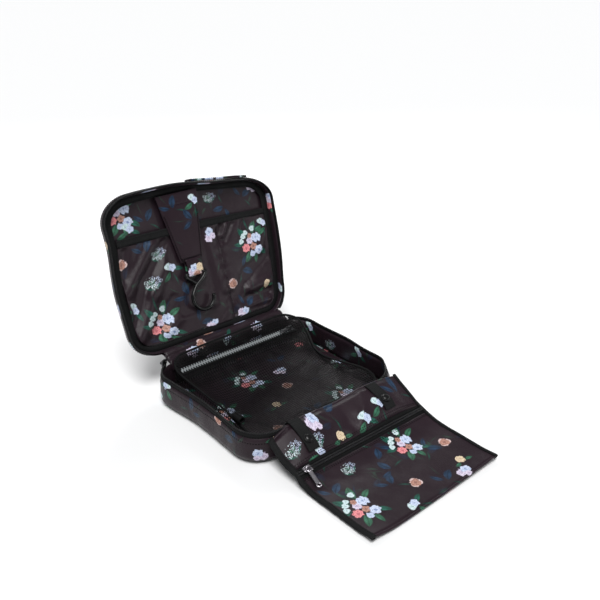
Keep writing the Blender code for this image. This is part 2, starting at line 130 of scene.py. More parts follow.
POUCH_ORIGIN = Vector((0, -0.106, 0.044))
POUCH_FRAME = Matrix.Translation(POUCH_ORIGIN) @ Matrix.Rotation(pi + radians(13.8), 4, "X")
POUCH_SLOPE = radians(13.8)
POUCH_HALF, POUCH_START, POUCH_END = 0.0985, 0.0095, 0.1585
POUCH_LOFT = 0.0026                # the empty pouch's thickness
POUCH_ZIP, POUCH_TAPE = 0.0505, 0.014
BINDING_WIDTH = 0.0046
# how far the pouch has sunk under its plane between the tray's rim and the floor, at five columns
POUCH_COLUMNS = mm(-100, -68, -10, 54, 100)
POUCH_SUNK = rows_mm((2, 6, 0.5, 2.5, 0, 3), (12, 15, 2, 5, 0.3, 8),
                     (24, 20, 5, 8, 1.2, 13.5), (36, 21, 10.5, 12.2, 6, 17),
                     (43, 20.5, 14.5, 15, 12, 17.8), (50, 19, 17.6, 17.6, 17.2, 18),
                     (60, 23.6, 20.4, 19.8, 19.2, 19), (78, 22.5, 21.2, 20.6, 20, 18),
                     (98, 17.4, 17.2, 17, 16.4, 14.2), (120, 12, 12, 11.8, 11.2, 9.6),
                     (142, 6.3, 6.6, 6.6, 6, 4.4), (158.5, -1, 1.5, 2.2, 1.2, 0))
POUCH_TOP = mm(5, 1.5, 0.3, 0.2, 2.2)        # where its upper and lower edges lie, by column
POUCH_FOOT = mm(159.2, 161.2, 160, 158, 156.2)
TABS_X = {"left": -0.065, "right": 0.0515}
SNAP_AT = 0.027

# where soft fabric is pulled out of the plain tray: x, y, shift in x, shift in y, reach
BASE_PULLS = rows_mm((-98, -96, 0, -3, 36), (-120, -10, 4, 0, 55),
                     (120, 45, -4, 0, 45), (112, -92, -8, 9, 32),
                     (120, -35, -5, 0, 30), (44, -102, 0, -3, 30))
BASE_LOW_PULLS = rows_mm((-120, 70, -4, 0, 40), (-122, 0, 3, 0, 50))
LID_PULLS = rows_mm((106, 200, 3, -17, 50), (-118, 198, -8, -4, 40),
                    (-122, 85, -16.5, 0, 80), (-110, 15, -5, 0, 30),
                    (120, 28, -11, 0, 50), (120, 150, 2, 0, 50),
                    (40, 212, 0, -7, 45))
MESH_PULLS = rows_mm((102, 2, -30, 0, 46), (10, -88, 0, 16, 80),
                     (0, 94, 0, 6.5, 100), (-90, -80, 8, 6, 30),
                     (-90, -10, 12, 0, 60))
# soft folds of the lid pocket: a line from x, v to x, v, its width and its height, towards the viewer
POCKET_FOLDS = rows_mm((-46, 140, -78, 98, 4.5, -3.4), (-78, 98, -112, 36, 6, -3.4),
                       (-40, 120, -72, 80, 6, 3), (-72, 80, -100, 34, 6.5, 2.8),
                       (-64, 140, -103, 88, 5, 2.4), (-98, 142, -104, 110, 4.5, -2),
                       (-108, 75, -104, 30, 5, 1.6), (-48, 66, -88, 26, 5.5, -2.4),
                       (-35, 50, -70, 26, 5, 1.8), (0, 142, -10, 112, 4, -1.8),
                       (38, 145, 30, 126, 2.8, -2.4), (56, 145, 38, 122, 3, -2.4),
                       (47, 145, 36, 128, 2.8, 2), (74, 145, 66, 128, 3, -1.8),
                       (98, 86, 66, 70, 7, -2.6), (66, 70, 36, 44, 7, -2.6),
                       (100, 52, 62, 48, 6, 2.6), (98, 38, 60, 36, 5, -2.8),
                       (60, 36, 30, 26, 5, -2.6), (96, 26, 36, 30, 4, 2),
                       (12, 120, 22, 60, 6, 1.6), (100, 120, 90, 95, 6, 1.8))


# --- node helpers ------------------------------------------------------------------------------------
class Value:
    """A number in a shader: arithmetic on it adds math nodes to its tree."""

    def __init__(self, tree, socket):
        self.tree = tree
        self.socket = socket

    def math(self, operation, *others, clamp=False):
        return number(self.tree, operation, self, *others, clamp=clamp)

    def __add__(self, other):
        return self.math("ADD", other)

    def __sub__(self, other):
        return self.math("SUBTRACT", other)

    def __rsub__(self, other):
        return number(self.tree, "SUBTRACT", other, self)

    def __mul__(self, other):
        return self.math("MULTIPLY", other)


def connect(tree, value, socket):
    """Links a shader value to a socket, or sets the socket to a constant."""
    if isinstance(value, Value):
        value = value.socket
    if isinstance(value, bpy.types.NodeSocket):
        tree.links.new(value, socket)
    else:
        socket.default_value = value


def node(tree, kind, sockets=None, **settings):
    """A shader node; sockets maps an input's name or index to a value or to another node's output."""
    made = tree.nodes.new(kind)
    for key, value in settings.items():
        setattr(made, key, value)
    for key, value in (sockets or {}).items():
        connect(tree, value, made.inputs[key])
    return made


def number(tree, operation, *values, clamp=False):
    made = node(tree, "ShaderNodeMath", dict(enumerate(values)), operation=operation, use_clamp=clamp)
    return Value(tree, made.outputs[0])


def vector(tree, operation, *values, **named):
    sockets = dict(enumerate(values))
    sockets.update(named)
    return node(tree, "ShaderNodeVectorMath", sockets, operation=operation).outputs[0]


def parts(tree, where):
    """The three components of a vector."""
    return [Value(tree, part) for part in node(tree, "ShaderNodeSeparateXYZ", {0: where}).outputs]


def combine(tree, *values):
    return node(tree, "ShaderNodeCombineXYZ", dict(enumerate(values))).outputs[0]


def soft_step(value, low, high, to_low=0.0, to_high=1.0):
    sockets = {"Value": value, "From Min": low, "From Max": high, "To Min": to_low, "To Max": to_high}
    made = node(value.tree, "ShaderNodeMapRange", sockets, interpolation_type="SMOOTHSTEP")
    return Value(value.tree, made.outputs[0])


def mix_colour(tree, share, under, over, blend="MIX"):
    made = node(tree, "ShaderNodeMix", data_type="RGBA", blend_type=blend)
    for index, value in ((0, share), (6, under), (7, over)):
        connect(tree, value, made.inputs[index])
    return made.outputs[2]


def toned(tree, colour, tone):
    """A colour made darker or lighter by a number."""
    return mix_colour(tree, 1.0, colour, combine(tree, tone, tone, tone), "MULTIPLY")


def noise_value(tree, where, scale, detail=2.0, out="Fac"):
    sockets = {"Vector": where, "Scale": scale, "Detail": detail}
    return Value(tree, node(tree, "ShaderNodeTexNoise", sockets).outputs[out])


def uv_place(tree, layer="print"):
    return node(tree, "ShaderNodeUVMap", uv_map=layer).outputs[0]


def new_group(name, vectors=(), numbers=(), colours=()):
    """A node group with a colour as its result: the group, its inputs by name, and its output node."""
    group = bpy.data.node_groups.new(name, "ShaderNodeTree")
    for labels, kind in ((vectors, "Vector"), (numbers, "Float"), (colours, "Color")):
        for label in labels:
            group.interface.new_socket(label, in_out="INPUT", socket_type="NodeSocket" + kind)
    group.interface.new_socket("Result", in_out="OUTPUT", socket_type="NodeSocketColor")
    given = {socket.name: Value(group, socket) for socket in group.nodes.new("NodeGroupInput").outputs}
    return group, given, group.nodes.new("NodeGroupOutput")


# --- the printed cloth -------------------------------------------------------------------------------
def make_blossom_group():
    """A blossom painted over the colour below it, on coordinates in units of its radius."""
    group, given, result = new_group("blossom", ["Place"], ["Tone", "Petals", "Seed"], ["Under"])
    place, petals, seed = given["Place"], given["Petals"], given["Seed"]
    offset = combine(group, seed, seed)
    wobble = noise_value(group, vector(group, "ADD", place, offset), 2.4, 3.0, "Color")
    wobble = vector(group, "SUBTRACT", wobble, (0.5, 0.5, 0.5))
    local = vector(group, "ADD", place, vector(group, "SCALE", wobble, Scale=0.75))
    x, y, _ = parts(group, local)
    reach = (x * x + y * y).math("SQRT")
    turn = y.math("ARCTAN2", x)
    scallop = (turn * (petals * 0.5)).math("SINE").math("ABSOLUTE")
    cover = soft_step(scallop.math("MULTIPLY_ADD", 0.2, 0.76) - reach, -0.02, 0.06)
    swirl = scallop.math("MULTIPLY_ADD", -0.55, reach * 2.9) + turn * 0.16
    edge = soft_step(swirl.math("PINGPONG", 0.5), 0.03, 0.22, 1.0, 0.0)
    eye = soft_step(reach, 0.08, 0.36, 0.85, 0.0)
    streak = noise_value(group, combine(group, turn * 2.6, reach, seed), 3.0)
    streak = soft_step(streak, 0.5, 0.72, 0.0, 0.75)
    mottle = noise_value(group, vector(group, "ADD", local, offset), 3.2, 3.0)
    mottle = soft_step(mottle, 0.3, 0.7, 0.45, 1.15)
    shade = edge.math("MAXIMUM", eye).math("MAXIMUM", streak).math("MULTIPLY", mottle, clamp=True)
    florets = node(group, "ShaderNodeTexVoronoi", {"Vector": place, "Scale": 5.5}).outputs["Distance"]
    florets = soft_step(Value(group, florets), 0.34, 0.46, 1.0, 0.0)
    is_umbel = petals.math("GREATER_THAN", UMBEL_PETALS)
    cover = cover * (1.0 - is_umbel * (1.0 - florets))
    light, dark = [palette(given["Tone"], [tone[k] for tone in TONES]) for k in (0, 1)]
    petal = mix_colour(group, shade, light, dark)
    connect(group, mix_colour(group, cover, given["Under"], petal), result.inputs[0])
    return group


def palette(index, colours):
    """The colour at a whole number in a list."""
    ramp = node(index.tree, "ShaderNodeValToRGB")
    ramp.color_ramp.interpolation = "CONSTANT"
    elements = ramp.color_ramp.elements
    while len(elements) < len(colours):
        elements.new(1.0)
    for position, (element, colour) in enumerate(zip(elements, colours)):
        element.position = position / len(colours)
        element.color = colour
    share = index.math("MULTIPLY_ADD", 1 / len(colours), 0.5 / len(colours))
    connect(index.tree, share, ramp.inputs[0])
    return ramp.outputs[0]


def make_leaf_group():
    """A pointed leaf with a midrib, on coordinates in units of its length from its foot."""
    group, given, result = new_group("leaf", ["Place"], ["Tone", "Width", "Strength"], ["Under"])
    along, across, _ = parts(group, given["Place"])
    across = (across - (along * 3.0).math("SINE") * 0.08).math("ABSOLUTE")
    taper = (along * (1.0 - along) * 4.0).math("MAXIMUM", 0.0) * given["Width"]
    inside = along.math("GREATER_THAN", 0.0) * along.math("LESS_THAN", 1.0)
    cover = soft_step(taper - across, 0.0, 0.05) * inside * given["Strength"]
    veins = ((along - across) * 42.0).math("SINE").math("MULTIPLY_ADD", 0.14, 0.86)
    blotch = soft_step(noise_value(group, given["Place"], 3.0), 0.3, 0.7, 0.6, 1.25)
    tone = soft_step(across, 0.0, 0.05, 0.45, 1.0) * veins * blotch
    colour = toned(group, palette(given["Tone"], LEAF_TONES), tone)
    connect(group, mix_colour(group, cover, given["Under"], colour), result.inputs[0])
    return group


SATIN = (0.0165, 0.0088, 0.013, 1)
SATIN_PATCH = (0.0205, 0.0115, 0.0165, 1)
FAINT_LEAF = 0.017                 # length of the faint leaves all over the ground
UMBEL_PETALS = 20.0                # a blossom with more petals than this is a head of small florets
# blossom colours, lit petal and shaded petal; LEAF_TONES colours the leaves
TONES = (((0.62, 0.69, 0.84, 1), (0.15, 0.22, 0.42, 1)), ((0.7, 0.64, 0.76, 1), (0.26, 0.19, 0.34, 1)),
         ((0.68, 0.78, 0.82, 1), (0.12, 0.3, 0.27, 1)), ((0.82, 0.3, 0.31, 1), (0.36, 0.07, 0.1, 1)),
         ((0.5, 0.27, 0.21, 1), (0.1, 0.035, 0.03, 1)), ((0.74, 0.62, 0.44, 1), (0.32, 0.18, 0.1, 1)),
         ((0.66, 0.52, 0.5, 1), (0.5, 0.36, 0.36, 1)))
WHITE_BLUE, LILAC, TULIP, PINK, BROWN, CREAM, PALE_EDGE = range(7)
LEAF_TONES = ((0.018, 0.12, 0.085, 1), (0.045, 0.17, 0.1, 1), (0.017, 0.044, 0.092, 1))
TEAL, GREEN, BLUE_LEAF = range(3)
BLOSSOM_LAYERS = ("blossom_c", "blossom_b", "blossom_a")      # the last is painted on top
LEAF_LAYERS = ("leaf_b", "leaf_a")
PRINT_SCALE = 1.2
CELL = 0.02                       # the size of the cells that motifs are looked up in
LEAF_REACH, BLOSSOM_REACH = 0.62, 1.25      # how far each reaches from its middle, in its own lengths
FAR_OFF = (9, 9)                   # where nothing is painted


# each motif: (kind of stamp, leaves, blossoms); lengths in millimetres about the stamp's own centre
MOTIFS = (
    (0, ((0, 10, 98, 24, 0.06, TEAL), (5, 8, 55, 22, 0.05, BLUE_LEAF), (-4, 7, 128, 17, 0.22, TEAL),
         (3, 9, 72, 17, 0.24, GREEN), (8, 5, 28, 15, 0.2, GREEN), (-9, 1, 172, 14, 0.2, TEAL),
         (-4, -8, 238, 15, 0.24, GREEN), (7, -9, -38, 15, 0.2, TEAL), (2, -12, 275, 12, 0.22, GREEN)),
     ((-9.5, 9.0, 3.6, 3, TULIP), (-12.5, 4.0, 3.4, 3, TULIP), (-5.5, 12.5, 3.0, 3, TULIP),
      (3.5, 16.0, 3.6, 3, TULIP),
      (-1.5, 3.0, 5.0, 5, LILAC), (6.5, 4.5, 6.3, 6, WHITE_BLUE), (-1.0, 8.0, 3.1, 5, BROWN),
      (-7.5, -4.5, 5.4, 7, PINK), (1.5, -4.5, 4.2, 5, BROWN), (7.0, -9.5, 5.6, 5, WHITE_BLUE),
      (-1.0, -12.0, 3.8, 4, WHITE_BLUE))),
    (1, (), ((0, 0, 6.4, 3, PALE_EDGE), (0, -0.2, 5.4, 3, BROWN))),
    (2, ((0, -3, 200, 11, 0.22, TEAL), (2, 3, 60, 10, 0.2, GREEN)), ((0, 0, 5.6, 7, PINK),)),
    (3, ((-1, -3, 205, 13, 0.22, GREEN), (2, -3, -30, 12, 0.2, TEAL), (0, -4, -95, 18, 0.06, TEAL)),
     ((-1.5, 2.5, 4.2, 3, TULIP), (2.6, -1, 4.4, 5, WHITE_BLUE))),
    (4, ((-3, -3, 190, 9, 0.22, GREEN), (3, -3, -10, 9, 0.22, GREEN)),
     ((0, 0, 5.2, 6, CREAM), (1, 1.2, 3.2, 4, CREAM))),
    (5, ((0, 4, 80, 24, 0.03, GREEN), (0, -2, -60, 18, 0.06, TEAL), (0, 0, 35, 15, 0.26, BLUE_LEAF),
         (-2, 2, 120, 14, 0.18, BLUE_LEAF)), ()),
    (6, ((0, -10, 90, 18, 0.05, TEAL), (-1, -4, 140, 9, 0.14, TEAL), (1, -3, 40, 9, 0.14, TEAL),
         (0, 0, 70, 8, 0.12, GREEN), (0, 0, 112, 8, 0.12, GREEN)),
     ((-1.5, 3.0, 6.6, 24, TULIP), (3.5, 4.5, 5.6, 26, WHITE_BLUE), (0.0, -1.0, 3.4, 22, TULIP))),
    (7, (), ((-3.5, 0.5, 5.0, 4, LILAC), (3.2, 1.5, 5.4, 5, WHITE_BLUE), (1.0, -4.0, 3.6, 4, LILAC))),
)


def make_print_group():
    """The whole print: satin ground, faint leaves all over, and the leaves and blossoms laid on each face."""
    blossom, leaf = make_blossom_group(), make_leaf_group()
    group, given, result = new_group("flower_print", colours=["Ground"])
    cloth = uv_place(group)
    cells = node(group, "ShaderNodeTexVoronoi", {"Vector": cloth, "Scale": 23.0, "Randomness": 0.8},
                 voronoi_dimensions="2D")
    local = vector(group, "SUBTRACT", cloth, cells.outputs["Position"])
    split = node(group, "ShaderNodeSeparateColor", {0: cells.outputs["Color"]})
    chance = [Value(group, channel) for channel in split.outputs]
    patches = soft_step(noise_value(group, cloth, 14.0, 3.0), 0.35, 0.75)
    ground = mix_colour(group, patches, given["Ground"], SATIN_PATCH)
    for index, width in enumerate((0.22, 0.1, 0.07)):
        strength = soft_step(chance[(index + 1) % 3], 0.45, 0.55, 0.0, 0.26)
        turned = node(group, "ShaderNodeVectorRotate", {"Vector": local, "Angle": chance[index] * 6.283},
                      rotation_type="Z_AXIS")
        spot = vector(group, "SCALE", turned.outputs[0], Scale=1 / FAINT_LEAF)
        ground = node(group, "ShaderNodeGroup", {"Place": spot, "Tone": float(2 - index), "Width": width,
                                                 "Strength": strength, "Under": ground},
                      node_tree=leaf).outputs[0]
    for layer in LEAF_LAYERS + BLOSSOM_LAYERS:
        facts = node(group, "ShaderNodeAttribute", attribute_name=layer + "_facts").outputs["Vector"]
        tone, shape, seed = parts(group, facts)
        sockets = {"Place": uv_place(group, layer), "Tone": tone, "Under": ground}
        if layer in LEAF_LAYERS:
            sockets.update({"Width": shape, "Strength": 0.9})
        else:
            sockets.update({"Petals": shape, "Seed": seed})
        painter = leaf if layer in LEAF_LAYERS else blossom
        ground = node(group, "ShaderNodeGroup", sockets, node_tree=painter).outputs[0]
    connect(group, ground, result.inputs[0])
    return group


def weave_height(tree, where, pitch):
    """Height of a plain weave whose yarns are pitch apart."""
    x, y, _ = parts(tree, where)
    across, along = [(axis * (pi / pitch)).math("SINE").math("ABSOLUTE") for axis in (x, y)]
    return across * along


def finish_material(material, tree, shader, height, distance, strength=1.0, second=None):
    """Adds fine relief, over a second and coarser one where there is one."""
    bump = node(tree, "ShaderNodeBump", {"Height": height, "Distance": distance, "Strength": strength})
    if second:
        connect(tree, second, bump.inputs["Normal"])
    connect(tree, bump.outputs[0], shader.inputs["Normal"])
    return material


def new_material(name, colour, roughness, **constants):
    material = bpy.data.materials.new(name)
    material.use_nodes = True
    tree = material.node_tree
    shader = tree.nodes["Principled BSDF"]
    shader.inputs["Base Color"].default_value = colour
    shader.inputs["Roughness"].default_value = roughness
    for label, value in constants.items():
        shader.inputs[label.replace("_", " ")].default_value = value
    return material, tree, shader


def satin_material(name, print_group, creases, gloss):
    """Smooth printed polyester: fine weave with painted shade in its hollows, soft creases, a low sheen and a
    little rubbing in its gloss.
    """
    material, tree, shader = new_material(name, SATIN, 0.44, Sheen_Weight=0.02, Sheen_Roughness=0.45,
                                          Specular_IOR_Level=gloss)
    cloth = uv_place(tree)
    colour = node(tree, "ShaderNodeGroup", {"Ground": SATIN}, node_tree=print_group).outputs[0]
    yarn = weave_height(tree, cloth, 0.00036)
    # painted light and shade: the weave's raised yarns are painted slightly paler and its hollows slightly
    # darker
    tone = soft_step(yarn, 0.0, 1.0, 0.9, 1.06)
    connect(tree, toned(tree, colour, tone), shader.inputs["Base Color"])
    rub = noise_value(tree, cloth, 45.0, 4.0)
    connect(tree, soft_step(rub, 0.25, 0.75, 0.29, 0.4), shader.inputs["Roughness"])
    stretched = node(tree, "ShaderNodeMapping", {"Vector": cloth, "Scale": (1.0, 0.45, 1.0)}).outputs[0]
    fold = node(tree, "ShaderNodeBump", {"Height": noise_value(tree, stretched, 38.0, 3.0),
                                         "Distance": 0.003 * creases, "Strength": 0.55})
    return finish_material(material, tree, shader, yarn, 0.00006, 0.6, fold.outputs[0])


def tape_material(name, colour, pitch, rib=0.0):
    """Woven tape or grosgrain: short ribs, lint, and its raised yarns and ribs painted paler and their
    hollows darker as painted light and shade.
    """
    material, tree, shader = new_material(name, (*colour, 1), 0.72, Sheen_Weight=0.01, Sheen_Roughness=0.5,
                                          Specular_IOR_Level=0.14)
    cloth = uv_place(tree)
    yarn = weave_height(tree, cloth, pitch)
    if rib:
        ribs = (parts(tree, cloth)[1] * (pi / rib)).math("SINE").math("ABSOLUTE")
        yarn = ribs.math("MULTIPLY_ADD", 1.5, yarn)
    lint = soft_step(noise_value(tree, cloth, 900.0), 0.3, 0.8, 0.85, 1.5)
    # painted light and shade: raised yarns and ribs are painted paler, the hollows between them darker; the
    # lint is real
    tone = soft_step(yarn, 0.0, 1.6, 0.65, 1.35) * lint
    connect(tree, toned(tree, (*colour, 1), tone), shader.inputs["Base Color"])
    rub = noise_value(tree, cloth, 60.0, 3.0)
    connect(tree, soft_step(rub, 0.2, 0.8, 0.62, 0.8), shader.inputs["Roughness"])
    return finish_material(material, tree, shader, yarn, 0.00012, 0.8)


def hard_material(name, colour, roughness, metallic=0.0, grain=0.00002, edge_glint=1.3, **constants):
    """Moulded plastic, lacquer or plated metal: slight unevenness, and edges painted paler as a painted
    highlight.
    """
    material, tree, shader = new_material(name, (*colour, 1), roughness, Metallic=metallic, **constants)
    where = node(tree, "ShaderNodeTexCoord").outputs["Object"]
    smudge = soft_step(noise_value(tree, where, 180.0, 3.0), 0.25, 0.75, roughness * 0.8, roughness * 1.35)
    connect(tree, smudge, shader.inputs["Roughness"])
    point = Value(tree, node(tree, "ShaderNodeNewGeometry").outputs["Pointiness"])
    # painted highlight: edges of high pointiness are painted paler, standing in for glints along them
    glint_colour = tuple(min(1.0, channel * edge_glint + 0.015) for channel in colour) + (1,)
    glinted = mix_colour(tree, soft_step(point, 0.52, 0.62), (*colour, 1), glint_colour)
    connect(tree, glinted, shader.inputs["Base Color"])
    return finish_material(material, tree, shader, noise_value(tree, where, 2400.0), grain, 0.5)


def thread_material(name, colour):
    material, tree, shader = new_material(name, (*colour, 1), 0.7, Specular_IOR_Level=0.1)
    twist = noise_value(tree, node(tree, "ShaderNodeTexCoord").outputs["Object"], 3500.0, 1.0)
    dark, light = [(*[channel * share for channel in colour], 1) for share in (0.7, 1.3)]
    tone = mix_colour(tree, soft_step(twist, 0.3, 0.7), dark, light)
    connect(tree, tone, shader.inputs["Base Color"])
    return finish_material(material, tree, shader, twist, 0.00008)


def make_materials():
    prints = make_print_group()
    return {
        "satin": satin_material("printed_satin", prints, 1.0, 0.17),
        "flat_satin": satin_material("printed_satin_flat", prints, 0.5, 0.14),
        "lining": satin_material("printed_lining", prints, 1.3, 0.24),
        "tape": tape_material("woven_tape", (0.0048, 0.005, 0.0054), 0.0005),
        "grosgrain": tape_material("grosgrain", (0.0055, 0.0058, 0.006), 0.0005, 0.0011),
        "net": hard_material("net_yarn", (0.0022, 0.0024, 0.0027), 0.45, edge_glint=0.6, Specular_IOR_Level=0.16),
        "coil": hard_material("nylon_coil", (0.007, 0.007, 0.008), 0.38, edge_glint=2.0),
        "silver_coil": hard_material("pale_nylon_coil", (0.26, 0.28, 0.29), 0.34, edge_glint=1.2,
                                     Specular_IOR_Level=0.6),
        "gloss_black": hard_material("gloss_black", (0.003, 0.0031, 0.0034), 0.3, edge_glint=1.2,
                                     Specular_IOR_Level=0.28),
        "lacquer": hard_material("black_lacquer", (0.022, 0.022, 0.024), 0.28, 0.6, edge_glint=4.0),
        "silver": hard_material("polished_silver", (0.4, 0.38, 0.41), 0.26, 1.0, edge_glint=1.2),
        # thread partly dark of its own and partly painted shade: darker than the cloth so the stitch rows
        # read as the shade in their puckers
        "thread": thread_material("dark_thread_with_pucker_shade", (0.0045, 0.0034, 0.0042)),
        "black_thread": thread_material("black_thread", (0.009, 0.009, 0.01)),
        "board": hard_material("stiffening_board", (0.45, 0.43, 0.4), 0.8, grain=0.0001),
    }


# --- mesh helpers ------------------------------------------------------------------------------------
def lay_out(stamps):
    """The leaves and blossoms of some stamps (kind, x and y in mm, turn in degrees), in order of painting."""
    leaves, blossoms = [], []
    for kind, sx, sy, turn in stamps:
        _, leaf_list, blossom_list = MOTIFS[kind]
        spin = Matrix.Rotation(radians(turn), 2)
        for x, y, angle, length, width, tone in leaf_list:
            foot = (spin @ Vector((x, y)) * PRINT_SCALE + Vector((sx, sy))) / 1000
            leaves.append((foot, radians(angle + turn), length * PRINT_SCALE / 1000, (tone, width, 0)))
        for x, y, radius, petals, tone in blossom_list:
            centre = (spin @ Vector((x, y)) * PRINT_SCALE + Vector((sx, sy))) / 1000
            seed = 7.3 * x + 3.1 * y + kind
            blossoms.append((centre, radians(turn) + seed, radius * PRINT_SCALE / 1000, (tone, petals, seed)))
    return leaves, blossoms


def paint(mesh, stamps):
    """Gives each face the leaves and blossoms that reach it: UVs and facts for each layer of print."""
    cloth = mesh.uv_layers["print"].data
    leaves, blossoms = lay_out(stamps)
    leaf_shapes = [(foot + Vector((cos(angle), sin(angle))) * length / 2, foot, angle, length, facts,
                    LEAF_REACH)
                   for foot, angle, length, facts in leaves]
    blossom_shapes = [(centre, centre, angle, radius, facts, BLOSSOM_REACH)
                      for centre, angle, radius, facts in blossoms]
    faces = []
    for face in mesh.polygons:
        corners = [cloth[loop].uv.copy() for loop in face.loop_indices]
        middle = sum(corners, Vector((0, 0))) / len(corners)
        size = max((corner - middle).length for corner in corners)
        faces.append((face.index, list(zip(face.loop_indices, corners)), middle, size))
    for layers, shapes in ((LEAF_LAYERS, leaf_shapes), (BLOSSOM_LAYERS, blossom_shapes)):
        cells = {}
        for order, (middle, foot, angle, size, facts, reach) in enumerate(shapes):
            span = size * reach + 0.006
            for cx in range(floor((middle.x - span) / CELL), floor((middle.x + span) / CELL) + 1):
                for cy in range(floor((middle.y - span) / CELL), floor((middle.y + span) / CELL) + 1):
                    cells.setdefault((cx, cy), []).append(order)
        for layer in layers:
            mesh.uv_layers.new(name=layer)
            mesh.attributes.new(layer + "_facts", "FLOAT_VECTOR", "FACE")
        uvs = [mesh.uv_layers[layer].data for layer in layers]
        data = [mesh.attributes[layer + "_facts"].data for layer in layers]
        for index, corners, middle, size in faces:
            near = []
            for order in cells.get((floor(middle.x / CELL), floor(middle.y / CELL)), ()):
                centre, foot, angle, length, facts, reach = shapes[order]
                gap = (middle - centre).length - length * reach - size
                if gap < 0:
                    near.append((gap / length, order))
            chosen = sorted(order for _, order in sorted(near)[:len(layers)])
            for slot in range(len(layers)):
                if slot < len(chosen):
                    _, foot, angle, length, facts, _ = shapes[chosen[slot]]
                    c, s = cos(angle) / length, sin(angle) / length
                    data[slot][index].vector = facts
                    for loop, corner in corners:
                        x, y = corner[0] - foot[0], corner[1] - foot[1]
                        uvs[slot][loop].uv = (x * c + y * s, y * c - x * s)
                else:
                    for loop, _ in corners:
                        uvs[slot][loop].uv = FAR_OFF


def scatter(x0, x1, y0, y1, seed, spacing=58):
    """A loose, regular sprinkle of motifs for cloth that needs no particular layout."""
    order = (0, 5, 1, 3, 6, 0, 7, 4, 5, 2)
    stamps = []
    for row in range(int((y1 - y0) / spacing) + 2):
        for column in range(int((x1 - x0) / spacing) + 2):
            pick = (column * 3 + row * 7 + seed) % len(order)
            drift = noise.noise_vector(Vector((column * 1.7 + seed, row * 2.3, 0.5))) * spacing * 0.28
            stamps.append((order[pick], x0 + (column + 0.5 * (row % 2)) * spacing + drift.x,
                           y0 + row * spacing + drift.y, 60 * drift.x / spacing))
    return stamps


def add_object(name, data):
    made = bpy.data.objects.new(name, data)
    bpy.context.scene.collection.objects.link(made)
    return made


@contextmanager
def editing(mesh):
    """The mesh as a bmesh, which is written back at the end."""
    work = bmesh.new()
    work.from_mesh(mesh)
    yield work
    work.to_mesh(mesh)
    work.free()


def new_piece(name, verts, faces, material, cloth=None, stamps=None, smooth=True):
    mesh = bpy.data.meshes.new(name)
    mesh.from_pydata([tuple(vert) for vert in verts], [], faces)
    layer = mesh.uv_layers.new(name="print").data
    if cloth:
        for face, corners in zip(mesh.polygons, cloth):
            for loop, corner in zip(face.loop_indices, corners):
                layer[loop].uv = corner
    mesh.validate()
    if stamps:
        paint(mesh, stamps)
    if smooth:
        mesh.shade_smooth()
    mesh.materials.append(MATERIALS[material])
    return add_object(name, mesh)


def grid(name, point, cloth, columns, rows, material, stamps=None, around=False, profile=False, keep=None):
    """A piece on a grid. around joins its ends; profile joins its sides and fills its ends."""
    wide, high = columns if around else columns + 1, rows if profile else rows + 1
    verts = [point(i, j) for j in range(high) for i in range(wide)]
    faces, corners = [], []
    for j in range(rows):
        for i in range(columns):
            if keep and not keep(i, j):
                continue
            quad = ((i, j), (i + 1, j), (i + 1, j + 1), (i, j + 1))
            faces.append([(b % high) * wide + a % wide for a, b in quad])
            corners.append([cloth(a, b) for a, b in quad])
    if profile and not around:
        for i in (0, columns):
            ring = list(range(rows)) if i == 0 else list(range(rows - 1, -1, -1))
            faces.append([j * wide + i for j in ring])
            corners.append([cloth(i, j) for j in ring])
    piece = new_piece(name, verts, faces, material, corners, stamps)
    if keep:
        drop_loose(piece)
    return piece


def weld(mesh, gap):
    """Joins points closer than gap and turns all faces outwards."""
    with editing(mesh) as work:
        bmesh.ops.remove_doubles(work, verts=work.verts, dist=gap)
        bmesh.ops.recalc_face_normals(work, faces=work.faces)


def drop_loose(piece):
    """Deletes the points that no face uses."""
    with editing(piece.data) as work:
        bmesh.ops.delete(work, geom=[vert for vert in work.verts if not vert.link_faces], context="VERTS")


def thicken(piece, thickness, levels=0):
    """Gives a sheet its thickness, half to each side, after smoothing it levels times."""
    if levels:
        smooth = piece.modifiers.new("smooth", "SUBSURF")
        smooth.levels = smooth.render_levels = levels
    solid = piece.modifiers.new("cloth", "SOLIDIFY")
    solid.thickness = thickness
    solid.offset = 0
    return piece


def round_edges(piece, width):
    rounding = piece.modifiers.new("edge", "BEVEL")
    rounding.width = width
    rounding.segments = 2
    rounding.angle_limit = radians(50)
    return piece


def apply_modifiers(piece):
    bpy.context.view_layer.update()
    evaluated = piece.evaluated_get(bpy.context.evaluated_depsgraph_get())
    mesh = bpy.data.meshes.new_from_object(evaluated, preserve_all_data_layers=True,
                                           depsgraph=bpy.context.evaluated_depsgraph_get())
    piece.modifiers.clear()
    piece.data = mesh
    return piece


def side_of(along):
    """A direction square to another, level where it can be."""
    helper = Vector((0, 0, 1)) if abs(along.z) < 0.8 else Vector((1, 0, 0))
    return along.cross(helper).normalized()


def spread(step, count):
    """From -1 to 1 as step goes from 0 to count."""
    return -1 + 2 * step / count


def arc_lengths(path):
    """The length along a path to each of its points."""
    lengths = [0.0]
    for a, b in zip(path, path[1:]):
        lengths.append(lengths[-1] + (b - a).length)
    return lengths


def ring_frames(path, closed):
    """A tangent, side and up direction for each point of a path, without twist."""
    count = len(path)
    frames = []
    side = None
    for index in range(count):
        before = path[(index - 1) % count] if closed or index else path[0]
        after = path[(index + 1) % count] if closed or index < count - 1 else path[-1]
        tangent = (after - before).normalized()
        if side is None:
            side = side_of(tangent)
        side = (side - tangent * side.dot(tangent)).normalized()
        frames.append((tangent, side, tangent.cross(side)))
    return frames


